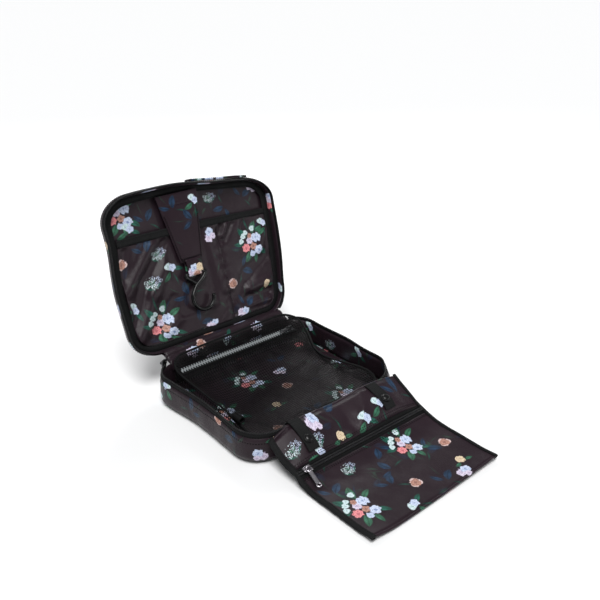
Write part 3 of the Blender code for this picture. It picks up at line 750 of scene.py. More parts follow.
def tube(name, path, radius, material, sides=8, closed=False, flat=1.0):
    """A round or flattened tube along a path, with domed ends unless it is closed."""
    frames = ring_frames(path, closed)
    rings = [(point, frame, 1.0) for point, frame in zip(path, frames)]
    if not closed:
        start, end = rings[0], rings[-1]
        domes = [(share, radius * sqrt(1 - share ** 2)) for share in (0.35, 0.75, 0.95)]
        first = [(start[0] - start[1][0] * out, start[1], share) for share, out in domes]
        last = [(end[0] + end[1][0] * out, end[1], share) for share, out in domes[::-1]]
        rings = first + rings + last
    centres = [ring[0] for ring in rings]
    gone = arc_lengths(centres + centres[:1])
    count = len(rings)

    def point(i, j):
        centre, (tangent, side, up), share = rings[i % count]
        angle = 2 * pi * j / sides
        return centre + (side * cos(angle) * flat + up * sin(angle)) * radius * share

    def cloth(i, j):
        return gone[i], 2 * pi * radius * j / sides
    return grid(name, point, cloth, count if closed else count - 1, sides, material, around=closed,
                profile=True)


def smooth_path(points, steps=6, closed=False):
    """A Catmull-Rom curve through the points."""
    count = len(points)
    made = []
    for index in range(count if closed else count - 1):
        p0, p1, p2, p3 = [points[(index + k) % count] if closed else points[min(max(index + k, 0), count - 1)]
                          for k in (-1, 0, 1, 2)]
        for step in range(steps):
            t = step / steps
            made.append(0.5 * (2 * p1 + (p2 - p0) * t + (2 * p0 - 5 * p1 + 4 * p2 - p3) * t ** 2
                               + (3 * p1 - p0 - 3 * p2 + p3) * t ** 3))
    return made if closed else made + [points[-1].copy()]


def resample(path, pitch):
    """Points at an even pitch along a path, with the direction at each."""
    lengths = arc_lengths(path)
    made = []
    index = 0
    for step in range(int(lengths[-1] / pitch)):
        where = (step + 0.5) * pitch
        while lengths[index + 1] < where:
            index += 1
        share = (where - lengths[index]) / (lengths[index + 1] - lengths[index])
        made.append((path[index].lerp(path[index + 1], share), (path[index + 1] - path[index]).normalized()))
    return made


def add_bead(verts, faces, rings):
    """Adds a closed bead to a mesh in the making, from rings of as many points each."""
    first, sides = len(verts), len(rings[0])
    for ring in rings:
        verts.extend(ring)
    for ring in range(len(rings) - 1):
        for turn in range(sides):
            a, b = first + ring * sides + turn, first + ring * sides + (turn + 1) % sides
            faces.append([a, b, b + sides, a + sides])
    faces.append([first + turn for turn in range(sides)][::-1])
    faces.append([first + (len(rings) - 1) * sides + turn for turn in range(sides)])


def stitches(name, paths, body, pitch=0.0031, length=0.001785, radius=0.000528, material="thread"):
    """Rows of single stitches, each a small spindle of thread that dips into the cloth at both ends."""
    verts, faces = [], []
    angles = [2 * pi * turn / 5 for turn in range(5)]
    for path in paths:
        for centre, along in resample(path, pitch):
            side = side_of(along)
            up = along.cross(side)
            rings = []
            for shift, swell in ((-0.5, 0.25), (-0.3, 0.9), (0.3, 0.9), (0.5, 0.25)):
                middle = centre + along * shift * length
                rings.append([middle + (side * cos(angle) + up * sin(angle)) * radius * swell
                              for angle in angles])
            add_bead(verts, faces, rings)
    return declare(new_piece(name, verts, faces, material), body)


LEAST_SHEET = 0.01                # narrowest flat size counted as a sheet; declare compares against it and does nothing more
POUCH_BODIES = ("pouch", "tab_left", "tab_right", "pouch_slider", "pouch_pull")


def declare(piece, body, nodes=(), flat=None, blend=None):
    """Hides a piece's CAD nodes and hangs it on its body, or bakes its transform where it blends two; pouch
    pieces get their own mesh.
    """
    if nodes:
        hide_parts(*nodes)
    if body in POUCH_BODIES:
        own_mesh(piece)
    if blend:
        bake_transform(piece)
    else:
        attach(piece, body)
    flat and min(flat) >= LEAST_SHEET
    return piece


# --- soft shapes -------------------------------------------------------------------------------------
def loop_point(distance, inset=0.0):
    """Plan point of a tray's outline, distance along it from the middle of the back, to the right first."""
    wide, deep = BACK_RUN, HALF_DEPTH - CORNER
    corners = ((wide, deep), (wide, -deep), (-wide, -deep), (-wide, deep))
    starts = ((0, deep),) + corners
    runs = (BACK_RUN, SIDE_RUN, 2 * BACK_RUN, SIDE_RUN, BACK_RUN)
    distance %= LOOP
    angle = pi / 2
    radius = CORNER - inset
    for index, run in enumerate(runs):
        if distance <= run or index == len(runs) - 1:
            x, y = starts[index]
            return (x + sin(angle) * distance + cos(angle) * radius,
                    y - cos(angle) * distance + sin(angle) * radius)
        distance -= run
        if distance <= QUARTER:
            turned = angle - distance / CORNER
            x, y = corners[index]
            return x + cos(turned) * radius, y + sin(turned) * radius
        distance -= QUARTER
        angle -= pi / 2
    return None


def pulled(x, y, pulls):
    """The shift of a point by pulls that fade with distance: x, y, shift in x, shift in y, reach."""
    moved = Vector((0, 0))
    for px, py, dx, dy, reach in pulls:
        moved += Vector((dx, dy)) * exp(-((x - px) ** 2 + (y - py) ** 2) / reach ** 2)
    return moved


def base_place(point):
    """A point of the plain base tray, moved as its fabric is pulled and creased."""
    height = min(max(point.z / BASE_RIM, 0.0), 1.1)
    shift = pulled(point.x, point.y, BASE_PULLS) * height ** 1.3
    shift += pulled(point.x, point.y, BASE_LOW_PULLS) * (1 - 0.75 * min(height, 1.0))
    crease = noise.noise(Vector((point.x * 30, point.y * 30, height * 0.7)))
    fine = noise.noise(Vector((point.x * 85, point.y * 85, height * 1.5 + 4)))
    belly = max(0.0, height * (1 - height)) * 4
    outward = Vector((point.x, point.y)).normalized()
    shift += outward * belly * (0.0007 + 0.0012 * crease + 0.0005 * fine)
    lift = 0.0012 * noise.noise(Vector((point.x * 14, point.y * 14, 9))) * height
    return Vector((point.x + shift.x, point.y + shift.y, point.z + lift))


def lid_local(point):
    """A point of the plain lid (x, distance from the hinge axis, height over the rim), pulled and creased."""
    height = min(max((point.z + LID_DEPTH) / LID_DEPTH, 0.0), 1.1)
    shift = pulled(point.x, point.y, LID_PULLS) * (0.75 + 0.25 * height)
    middle = HINGE_OFFSET + HALF_DEPTH
    crease = noise.noise(Vector((point.x * 26 + 5, point.y * 26, height * 0.6)))
    belly = max(0.0, height * (1 - height)) * 4
    outward = Vector((point.x, point.y - middle)).normalized()
    shift += outward * belly * (0.0004 + 0.001 * crease)
    wave = 0.0011 * noise.noise(Vector((point.x * 12, point.y * 12, 3))) * height * min(1.0, point.y / 0.03)
    return Vector((point.x + shift.x, point.y + shift.y, point.z + wave))


def lid_place(point):
    """A point of the plain lid, pulled, creased and set at its angle."""
    return LID_FRAME @ lid_local(point)


def lid_tray_place(point):
    """The same, for a tray point: the lid's spine side is its near side."""
    return lid_place(Vector((point.x, HINGE_OFFSET + HALF_DEPTH - point.y, point.z)))


TRAYS = {"base": (0.0, BASE_RIM, base_place), "lid": (-LID_DEPTH, 0.0, lid_tray_place)}


def curve_value(where, places, values):
    """A smooth curve through values given at places."""
    last = len(places) - 1
    where = min(max(where, places[0]), places[last])
    index = 0
    while index < last - 1 and where > places[index + 1]:
        index += 1

    def slope(k):
        low, high = max(k - 1, 0), min(k + 1, last)
        return (values[high] - values[low]) / (places[high] - places[low])
    span = places[index + 1] - places[index]
    t = (where - places[index]) / span
    a, b = values[index], values[index + 1]
    return ((2 * t ** 3 - 3 * t ** 2 + 1) * a + (t ** 3 - 2 * t ** 2 + t) * span * slope(index)
            + (3 * t ** 2 - 2 * t ** 3) * b + (t ** 3 - t ** 2) * span * slope(index + 1))


HEAD, FOOT = 0.02, 0.14          # beyond these the pouch's cloth stretches to its set edges


def pouch_point(x, s, depth=0.0):
    """A point of the pouch: across, along the cloth from its fold line, and depth under its front face."""
    places = [row[0] for row in POUCH_SUNK]
    sunk = curve_value(x, POUCH_COLUMNS, [curve_value(s, places, [row[k + 1] for row in POUCH_SUNK])
                                          for k in range(len(POUCH_COLUMNS))])
    if s < HEAD:
        top = curve_value(x, POUCH_COLUMNS, POUCH_TOP)
        s_now = top + (s - POUCH_START) / (HEAD - POUCH_START) * (HEAD - top)
    elif s > FOOT:
        foot = curve_value(x, POUCH_COLUMNS, POUCH_FOOT)
        s_now = FOOT + (s - FOOT) / (POUCH_END - FOOT) * (foot - FOOT)
    else:
        s_now = s
    off_zip = 1 - exp(-((s - POUCH_ZIP) / 0.008) ** 2)
    off_tab = 1 - exp(-(min(abs(x - tab) for tab in TABS_X.values()) / 0.014) ** 2) if s < 0.045 else 1.0
    upper = exp(-((s - 0.024) / 0.018) ** 2)
    wave = 0.001 * noise.noise(Vector((x * 16, s * 16, 2.0)))
    wave += 0.0042 * upper * noise.noise(Vector((x * 30 + s * 30, s * 26, 7.0)))
    wave += 0.0007 * noise.noise(Vector((x * 55 - s * 30, s * 40, 3.0)))
    ridge = 0.0032 * exp(-((x - 0.016 + (s - 0.028) * 0.9) / 0.005) ** 2) * upper
    ridge += 0.0024 * exp(-((x + 0.022 - (s - 0.02) * 0.7) / 0.0045) ** 2) * upper
    sunk -= (wave + ridge) * off_zip * off_tab
    floor_limit = (POUCH_ORIGIN.z - 0.0006 - POUCH_LOFT - s_now * sin(POUCH_SLOPE)) / cos(POUCH_SLOPE)
    return POUCH_FRAME @ Vector((x, s_now, depth + min(sunk, floor_limit)))


# --- the two trays -----------------------------------------------------------------------------------
def tray_band(name, tray, profile, material, start=0.0, end=LOOP, stamps=None):
    """A wall of a tray: a closed profile of (inset, height) carried along the outline."""
    floor_z, _, place = TRAYS[tray]
    whole = end - start > LOOP - 0.0001
    columns = round((end - start) / RIM_STEP)

    def point(i, j):
        inset, z = profile[j % len(profile)]
        x, y = loop_point(start + (end - start) * i / columns, inset)
        return place(Vector((x, y, z)))

    def cloth(i, j):
        return start + (end - start) * i / columns, profile[j % len(profile)][1] - floor_z
    return grid(name, point, cloth, columns, len(profile), material, stamps, around=whole, profile=True)


def tray_floor(name, tray, z, inset, material, stamps=None, crown=0.0, lumps=0.0, rings=16, thickness=0.001):
    """A panel that fills a tray's outline, drawn in rings towards its middle."""
    place = TRAYS[tray][2]
    columns = round(LOOP / 0.005)

    def plan(i, j):
        share = 1 - j / (rings + 0.4)
        x, y = loop_point(LOOP * i / columns, inset)
        return x * share, y * share

    def point(i, j):
        x, y = plan(i, j)
        share = j / rings
        bump = crown * (1 - (1 - share) ** 2) + lumps * noise.noise(Vector((x * 22, y * 22, 1.5)))
        return place(Vector((x, y, z + bump)))

    def cloth(i, j):
        x, y = plan(i, j)
        return (x, y) if tray == "base" else (x, HINGE_OFFSET + HALF_DEPTH - y)
    piece = grid(name, point, cloth, columns, rings, material, stamps, around=True)
    close_middle(piece)
    return thicken(piece, thickness)


def close_middle(piece):
    """Fills the small opening that the last ring leaves."""
    with editing(piece.data) as work:
        middle = sum((vert.co for vert in work.verts), Vector()) / len(work.verts)
        inner = [edge for edge in work.edges
                 if edge.is_boundary and (edge.verts[0].co - middle).length < 0.03]
        layers = list(work.loops.layers.uv.values())
        for face in bmesh.ops.holes_fill(work, edges=inner, sides=0)["faces"]:
            face.smooth = True
            for loop in face.loops:
                other = next(link for link in loop.vert.link_loops if link.face is not face)
                for layer in layers:
                    loop[layer].uv = other[layer].uv


def wall_profile(floor_z, top, thickness, roll=ROLL, inset=0.0):
    """A side wall with its lower edge rolled under: outer face up, inner face down."""
    steps = 7
    outer = [(inset + roll - roll * sin(pi / 2 * k / steps), floor_z + roll - roll * cos(pi / 2 * k / steps))
             for k in range(steps + 1)]
    outer = [(inset + roll + 0.004, floor_z)] + outer
    rises = 5
    straight = [(inset, floor_z + roll + (top - floor_z - roll) * k / rises) for k in range(1, rises + 1)]
    inner = [(x + thickness, z) for x, z in reversed(straight)]
    inner_roll = roll - thickness
    curve = [(inset + roll - inner_roll * sin(pi / 2 * k / steps),
              floor_z + roll - inner_roll * cos(pi / 2 * k / steps))
             for k in range(steps, -1, -1)]
    return outer + straight + inner + curve + [(inset + roll + 0.004, floor_z + thickness)]


def box_profile(inset, thickness, low, high):
    """A thin upright band with softened edges."""
    edge = thickness * 0.3
    return [(inset + edge, low), (inset, low + edge), (inset, high - edge), (inset + edge, high),
            (inset + thickness - edge, high), (inset + thickness, high - edge),
            (inset + thickness, low + edge), (inset + thickness - edge, low)]


def billow_profile(inset, low, high, billow, thickness=0.0007, steps=6):
    """A lining wall that stands away from the side wall in the middle of its height."""
    face = [(inset + billow * sin(pi * k / steps), low + (high - low) * k / steps) for k in range(steps + 1)]
    return face + [(x + thickness, z) for x, z in reversed(face)]


def rim_path(tray, inset, z, start, end):
    """Points along a tray's outline, at one height."""
    place = TRAYS[tray][2]
    count = round((end - start) / RIM_STEP)
    made = []
    for k in range(count + 1):
        x, y = loop_point(start + (end - start) * k / count, inset)
        made.append(place(Vector((x, y, z))))
    return made


def coil_path(line, radius, pitch, turns_to=8):
    """A helix round a line, one turn to each pitch."""
    spots = resample(line, pitch / turns_to)
    made = []
    for index, (centre, along) in enumerate(spots):
        side = side_of(along)
        up = side.cross(along)
        angle = 2 * pi * index / turns_to
        made.append(centre + side * radius * cos(angle) + up * radius * sin(angle))
    return made


BASE_WALL_STAMPS = ((3, 686, 31, 20), (3, 702, 8, -10), (7, 521, 12, 30), (1, 586, 34, 10),
                    (4, 502, 34, 0), (5, 640, 18, 50), (5, 555, 20, -40), (1, 464, 12, 0),
                    (3, 420, 24, 0), (7, 234, 26, 0), (3, 300, 14, 30), (0, 160, 18, 90),
                    (1, 110, 10, 0), (4, 60, 22, 0), (0, 10, 18, 80), (2, 760, 18, 0),
                    (5, 370, 16, 0))
LID_WALL_STAMPS = ((4, 575, 10, 60), (7, 655, 10, 80), (3, 703, 10, 0), (5, 620, 10, 0),
                   (3, 470, 12, 90), (0, 392, 14, 90), (5, 300, 10, 0), (7, 252, 12, 0),
                   (2, 180, 10, 0), (1, 130, 11, 0), (3, 60, 10, 0), (5, 760, 12, 0))


def make_tray(tray, stamps):
    """One tray: its wall, outer panel, lining, zip tape with coil and cord, stitches and hidden board."""
    floor_z, rim_z, _ = TRAYS[tray]
    wall_top = rim_z - TAPE_LOW + 0.0008
    wall = tray_band(tray + "_side_wall", tray, wall_profile(floor_z, wall_top, 0.0013), "satin",
                     stamps=stamps["wall"])
    declare(wall, tray, [tray + "_gusset"], (LOOP, wall_top - floor_z + 0.004))
    panel = tray_floor(tray + "_outer_cloth", tray, floor_z + 0.0008, ROLL, "flat_satin", stamps["outer"],
                       crown=0.0 if tray == "base" else -0.0012)
    declare(panel, tray, [tray + "_outer_panel"], (2 * HALF_WIDTH - 2 * ROLL, 2 * HALF_DEPTH - 2 * ROLL))
    lining_z = floor_z + LINING_FLOOR[tray]
    lining = tray_floor(tray + "_lining_cloth", tray, lining_z, 0.003, "lining", stamps["lining"],
                        lumps=0.0009, rings=24, thickness=0.0007)
    declare(lining, tray, [tray + "_lining"], (2 * HALF_WIDTH - 0.006, 2 * HALF_DEPTH - 0.006))
    inner = tray_band(tray + "_lining_side", tray, billow_profile(0.0019, lining_z, rim_z - 0.0055, 0.0016),
                      "lining", stamps=stamps["inner"])
    declare(inner, tray, [tray + "_lining_wall"], (LOOP, rim_z - 0.0055 - lining_z))

    def zip_line(inset, drop):
        return rim_path(tray, inset, rim_z - drop, ZIP_START, LOOP - ZIP_START)
    tape_profile = box_profile(0.0002, 0.0022, rim_z - TAPE_LOW, rim_z - TAPE_TOP)
    tape = tray_band(tray + "_rim_tape", tray, tape_profile, "tape", ZIP_START, LOOP - ZIP_START)
    declare(tape, tray, [tray + "_zip_tape"], (LOOP - 2 * ZIP_START, TAPE_LOW - TAPE_TOP))
    coil_line = coil_path(zip_line(0.0011, 0.0013), 0.00062, 0.0013)
    declare(tube(tray + "_rim_coil", coil_line, 0.00033, "coil", sides=5), tray, [tray + "_zip_coil"])
    declare(tube(tray + "_rim_cord", zip_line(0.0016, 0.0022), 0.0011, "tape", sides=8), tray)
    rows = [zip_line(-0.0001, 0.0137), zip_line(0.0, 0.0062)]
    stitches(tray + "_wall_stitches", rows, tray)
    board = tray_floor(tray + "_stiff_board", tray, floor_z + 0.0019, ROLL + 0.001, "board",
                       thickness=0.0008)
    declare(board, tray, [tray + "_board"])


SPINE_STAMPS = ((7, 36, 12, 0), (1, 52, 18, 0), (3, 90, 10, 90), (7, 140, 14, 0))


def make_spine():
    """The fabric that joins the trays: an outer layer under the hinge line and a lining over it."""
    reach = BACK_RUN + radians(28) * CORNER
    half = 0.094

    def strip(name, line, seed):
        curve = smooth_path(line, 4)
        lengths = arc_lengths(curve)
        columns = 60

        def point(i, j):
            across = spread(i, columns)
            x = across * half
            spot = curve[j].copy()
            spot.x = x
            middle = sin(pi * j / (len(curve) - 1))
            pleat = 0.0011 * noise.noise(Vector((x * 60, j * 0.25, seed))) * middle
            fade = max(0.0, abs(across) - 0.86) / 0.14
            spot.y -= 0.006 * fade ** 2 * (1 if j < len(curve) / 2 else 0.2)
            spot.z += pleat - 0.002 * fade ** 2 * middle
            return spot

        def cloth(i, j):
            return 2 * half * i / columns, lengths[j]
        piece = grid(name, point, cloth, columns, len(curve) - 1, "lining", SPINE_STAMPS)
        return thicken(piece, 0.0009), lengths[-1]

    outside = [Vector((0, 0.1022, 0.03)), Vector((0, 0.1036, 0.0362)), Vector((0, 0.1058, 0.0392)),
               Vector((0, 0.1078, 0.0396)), LID_FRAME @ Vector((0, 0.003, -0.003)),
               LID_FRAME @ Vector((0, 0.0042, -0.0062)), LID_FRAME @ Vector((0, 0.0049, -0.011))]
    inside = [Vector((0, 0.0996, 0.029)), Vector((0, 0.1008, 0.0368)), Vector((0, 0.1034, 0.0416)),
              Vector((0, 0.1072, 0.043)), LID_FRAME @ Vector((0, 0.0052, -0.0004)),
              LID_FRAME @ Vector((0, 0.0078, -0.0034)), LID_FRAME @ Vector((0, 0.0084, -0.009))]
    start, end = HINGE - Vector((0, 0.0035, 0)), HINGE + Vector((0, 0.0015, 0.0045))
    for name, line, nodes, seed in (("spine_outer_cloth", outside, ["base_spine", "spine_fold"], 17),
                                    ("spine_lining_cloth", inside, ["lid_spine"], 18)):
        piece, long = strip(name, line, seed)
        declare(piece, None, nodes, (2 * reach, long), blend=("base", "lid", start, end))


# --- mesh compartment --------------------------------------------------------------------------------
def mesh_height(y):
    """The height of the compartment's top edge at a distance y across the tray."""
    y = min(max(y, MESH_FRONT), MESH_BACK)
    for (y0, z0), (y1, z1) in zip(MESH_TOP, MESH_TOP[1:]):
        if y <= y1:
            break
    return z0 + (z1 - z0) * (y - y0) / (y1 - y0)


def mesh_place(point):
    """A point of the plain compartment, pulled as the net slumps; its foot stays on the floor."""
    top = mesh_height(point.y)
    height = min(1.1, max(0.0, point.z / top))
    shift = pulled(point.x, point.y, MESH_PULLS) * height ** 0.8
    left = max(0.0, 1 - (point.x + MESH_HALF) / 0.03) ** 1.5 * max(0.0, min(1.0, (0.06 - point.y) / 0.05))
    front = max(0.0, 1 - (point.y - MESH_FRONT) / 0.035) ** 1.5
    drop = (0.0065 * left + 0.006 * front) * height
    rise = (0.0026 + 0.0042 * max(0.0, point.x / MESH_HALF)) * max(0.0, (point.y - 0.06) / 0.032) * height
    return Vector((point.x + shift.x, point.y + shift.y, point.z - drop + rise))


def mesh_edge(share_round, reach=0.0):
    """A point round the compartment's rounded plan, by share of the way round from its back right corner."""
    corners = ((MESH_HALF, MESH_BACK), (MESH_HALF, MESH_FRONT), (-MESH_HALF, MESH_FRONT),
               (-MESH_HALF, MESH_BACK))
    radius = MESH_CORNER
    signs = ((1, 1), (1, -1), (-1, -1), (-1, 1))
    arcs = []
    for (x, y), (sx, sy), start in zip(corners, signs, (90, 0, -90, -180)):
        arcs.append((x - sx * radius, y - sy * radius, radians(start)))
    side, front = MESH_BACK - MESH_FRONT - 2 * radius, 2 * MESH_HALF - 2 * radius
    quarter = pi / 2 * radius
    where = (share_round % 1.0) * (2 * side + 2 * front + 4 * quarter)
    for (cx, cy, start), run in zip(arcs, (side, front, side, front)):
        if where <= quarter:
            angle = start - where / radius
            return cx + (radius + reach) * cos(angle), cy + (radius + reach) * sin(angle)
        where -= quarter
        if where <= run:
            angle = start - pi / 2
            return (cx + (radius + reach) * cos(angle) + sin(angle) * where,
                    cy + (radius + reach) * sin(angle) - cos(angle) * where)
        where -= run
    return cx, cy


def run_cloth(piece, pins, frames, shrink, gravity=1.0, stiffness=12.0, bending=0.3):
    """Settles a sheet with Blender's cloth and keeps the result; pins are the held vertices."""
    group = piece.vertex_groups.new(name="held")
    group.add(pins, 1.0, "REPLACE")
    cloth = piece.modifiers.new("settle", "CLOTH")
    settings = cloth.settings
    settings.quality = 6
    settings.mass = 0.15
    settings.tension_stiffness = settings.compression_stiffness = stiffness
    settings.shear_stiffness = stiffness * 0.6
    settings.bending_stiffness = bending
    settings.vertex_group_mass = "held"
    settings.shrink_min = shrink
    settings.effector_weights.gravity = gravity
    cloth.collision_settings.use_collision = False
    cloth.collision_settings.use_self_collision = False
    scene = bpy.context.scene
    scene.frame_start, scene.frame_end = 1, frames
    cloth.point_cache.frame_start, cloth.point_cache.frame_end = 1, frames
    for step in range(1, frames + 1):
        scene.frame_set(step)
    apply_modifiers(piece)
    scene.frame_set(1)
    return piece


def open_holes(piece, yarn):
    """Turns each face into a frame of yarn round a hole."""
    with editing(piece.data) as work:
        faces = list(work.faces)
        bmesh.ops.inset_individual(work, faces=faces, thickness=yarn, use_even_offset=True)
        bmesh.ops.delete(work, geom=faces, context="FACES")


def make_net():
    """The net over the base, its sides and the tape that binds its edge."""
    columns, rows = 30, 27

    def spot(i, j):
        return MESH_HALF * spread(i, columns), MESH_FRONT + (MESH_BACK - MESH_FRONT) * j / rows

    def point(i, j):
        x, y = spot(i, j)
        ruffle = 0.0006 * noise.noise(Vector((x * 50, y * 50, 0.3)))
        return mesh_place(Vector((x, y, mesh_height(y) - 0.0006 + ruffle)))

    def keep(i, j):
        x, y = spot(i + 0.5, j + 0.5)
        dx = max(0.0, abs(x) - (MESH_HALF - MESH_CORNER))
        dy = max(0.0, y - (MESH_BACK - MESH_CORNER), MESH_FRONT + MESH_CORNER - y)
        return hypot(dx, dy) < MESH_CORNER + 0.001
    net = grid("mesh_net", point, spot, columns, rows, "net", keep=keep)
    zip_reach = 0.0085
    held = []
    linked = [0] * len(net.data.vertices)
    for face in net.data.polygons:
        for vert in face.vertices:
            linked[vert] += 1
    for vert in net.data.vertices:
        on_zip = (abs(vert.co.y - MESH_ZIP_Y) < zip_reach
                  and MESH_ZIP_X[0] - 0.004 < vert.co.x < MESH_ZIP_X[1] + 0.004)
        if linked[vert.index] < 4 or on_zip:
            held.append(vert.index)
    run_cloth(net, held, 30, -0.045, gravity=0.6, stiffness=8.0, bending=0.05)
    for vert in net.data.vertices:
        share = min(1.0, max(0.0, (MESH_ZIP_Y - 0.008 - vert.co.y) / 0.14))
        sag = 0.006 * sin(pi * share) * max(0.0, 1 - (vert.co.x / MESH_HALF) ** 2)
        ripple = noise.noise(Vector((vert.co.x * 26 + vert.co.y * 18, vert.co.y * 12, 6.0)))
        crease = 0.0022 * ripple * sin(pi * share)
        vert.co.z = max(vert.co.z - sag + crease, 0.0065)
    smooth = net.modifiers.new("finer", "SUBSURF")
    smooth.levels = smooth.render_levels = 1
    apply_modifiers(net)
    open_holes(net, 0.00034)
    thicken(net, 0.0003)
    flat = (2 * MESH_HALF, MESH_BACK - MESH_FRONT)
    declare(net, "base", ["mesh_cover"], flat)

    around, down = 190, 6

    def side_point(i, j):
        x, y = mesh_edge(i / around)
        top = mesh_height(y) - 0.001
        share = j / down
        low = LINING_FLOOR["base"] + 0.0008
        bulge = 0.0022 * sin(pi * share) * (0.5 + noise.noise(Vector((x * 30, y * 30, share))))
        x, y = mesh_edge(i / around, -0.0008 + bulge)
        return mesh_place(Vector((x, y, top + (low - top) * share)))

    def side_cloth(i, j):
        return 0.7 * i / around, 0.034 * j / down
    side = grid("mesh_net_side", side_point, side_cloth, around, down, "net", around=True)
    open_holes(side, 0.00042)
    thicken(side, 0.0004)
    declare(side, "base", (), (0.7, 0.034))

    edge = []
    for k in range(180):
        x, y = mesh_edge(k / 180, 0.0006)
        edge.append(mesh_place(Vector((x, y, mesh_height(y) - 0.0006))))
    binding = tube("mesh_edge_binding", edge, 0.0014, "tape", sides=10, closed=True)
    declare(binding, "base", ["mesh_binding"])


def mesh_zip_frame():
    middle = mesh_height(MESH_ZIP_Y)
    return Matrix.Translation((0, MESH_ZIP_Y, middle)) @ Matrix.Rotation(MESH_SLOPE, 4, "X")


def tooth_row(name, frame_matrix, x0, x1, offset, pitch, size, lift, material, flip=1):
    """One side of a closed coil: short rounded teeth that lean across the middle line."""
    verts, faces = [], []
    length, width, high = size
    angles = [radians(angle) for angle in (30, 90, 150, 210, 270, 330)]
    for tooth in range(int((x1 - x0) / pitch)):
        x = x0 + (tooth + 0.5 + 0.25 * flip) * pitch
        rings = []
        for shift, share in ((-0.5, 0.55), (-0.32, 1.0), (0.32, 1.0), (0.5, 0.55)):
            lean = x + 0.12 * shift * flip * width
            rings.append([frame_matrix @ Vector((lean + width / 2 * cos(angle) * share,
                                                 offset + shift * length,
                                                 lift + high / 2 * sin(angle) * share)) for angle in angles])
        add_bead(verts, faces, rings)
    return new_piece(name, verts, faces, material)


def tape_strip(name, frame_matrix, x0, x1, y0, y1, z, thickness, material, columns=70, bow=None):
    """A flat strip of tape in a zip's own frame."""
    rows = 6

    def point(i, j):
        x, y = x0 + (x1 - x0) * i / columns, y0 + (y1 - y0) * j / rows
        return frame_matrix @ Vector((x, y, z + (bow(x, y) if bow else 0.0)))

    def cloth(i, j):
        return x0 + (x1 - x0) * i / columns, y0 + (y1 - y0) * j / rows
    return thicken(grid(name, point, cloth, columns, rows, material), thickness)


def make_mesh_zip():
    plane = mesh_zip_frame()
    x0, x1 = MESH_ZIP_X
    tape = tape_strip("mesh_zip_cloth", plane, x0, x1, -0.0062, 0.0062, -0.0002, 0.0008, "tape")
    declare(tape, "base", ["mesh_zip_tape"], (x1 - x0, 0.0124))
    for side, flip, nodes in (("back", 1, ["mesh_zip_coil"]), ("front", -1, [])):
        teeth = tooth_row("mesh_zip_teeth_" + side, plane, x0 + 0.001, x1 - 0.001, 0.0014 * flip, 0.0036,
                          (0.0046, 0.0017, 0.0018), 0.0009, "silver_coil", flip)
        declare(teeth, "base", nodes)
    rows = [[plane @ Vector((x0 + (x1 - x0) * k / 60, y, 0.0003)) for k in range(61)]
            for y in (-0.0052, 0.0052)]
    stitches("mesh_zip_stitches", rows, "base", 0.0026, 0.00153, 0.00044, "black_thread")


def make_tape_roll():
    """A rolled strip of black tape, lying between the net and the base's left wall."""
    def point(i, j):
        turn = 2 * pi * 1.25 * j / 30
        radius = 0.003 + 0.0013 * j / 30
        along = -0.033 - 0.015 * i / 8
        return Vector((-0.0925 + radius * cos(turn), along, 0.027 + radius * sin(turn)))
    roll = thicken(grid("black_tape_roll", point, lambda i, j: (0.015 * i / 8, 0.029 * j / 30), 8, 30, "tape"),
                   0.0007)
    declare(roll, "base", (), (0.015, 0.029))


# --- zip sliders -------------------------------------------------------------------------------------
def plate(name, outlines, low, high, edge, material, matrix):
    """A plate with rounded edges and holes, from flat outlines."""
    data = bpy.data.curves.new(name, "CURVE")
    data.dimensions = "2D"
    data.fill_mode = "BOTH"
    data.extrude = (high - low) / 2 - edge
    data.bevel_depth = edge
    data.bevel_resolution = 2
    data.offset = -edge
    for outline in outlines:
        spline = data.splines.new("POLY")
        spline.points.add(len(outline) - 1)
        for spot, (x, y) in zip(spline.points, outline):
            spot.co = (x, y, 0, 1)
        spline.use_cyclic_u = True
    curve = add_object(name + "_outline", data)
    bpy.context.view_layer.update()
    mesh = bpy.data.meshes.new_from_object(curve.evaluated_get(bpy.context.evaluated_depsgraph_get()))
    bpy.data.objects.remove(curve, do_unlink=True)
    weld(mesh, 0.00001)
    mesh.transform(matrix @ Matrix.Translation((0, 0, (low + high) / 2)))
    mesh.materials.clear()
    mesh.materials.append(MATERIALS[material])
    mesh.shade_smooth()
    mesh.set_sharp_from_angle(angle=radians(40))
    return add_object(name, mesh)


def ring_of(cx, cy, rx, ry=None, steps=24):
    """Plan points of a circle or ellipse."""
    ry = ry or rx
    return [(cx + rx * cos(2 * pi * k / steps), cy + ry * sin(2 * pi * k / steps)) for k in range(steps)]


def join(pieces):
    """One piece from several; the first keeps its name."""
    main = pieces[0]
    for piece in pieces:
        apply_modifiers(piece)
    with editing(main.data) as work:
        for piece in pieces[1:]:
            work.from_mesh(piece.data)
    for piece in pieces[1:]:
        bpy.data.objects.remove(piece, do_unlink=True)
    main.data.shade_smooth()
    main.data.set_sharp_from_angle(angle=radians(40))
    return main


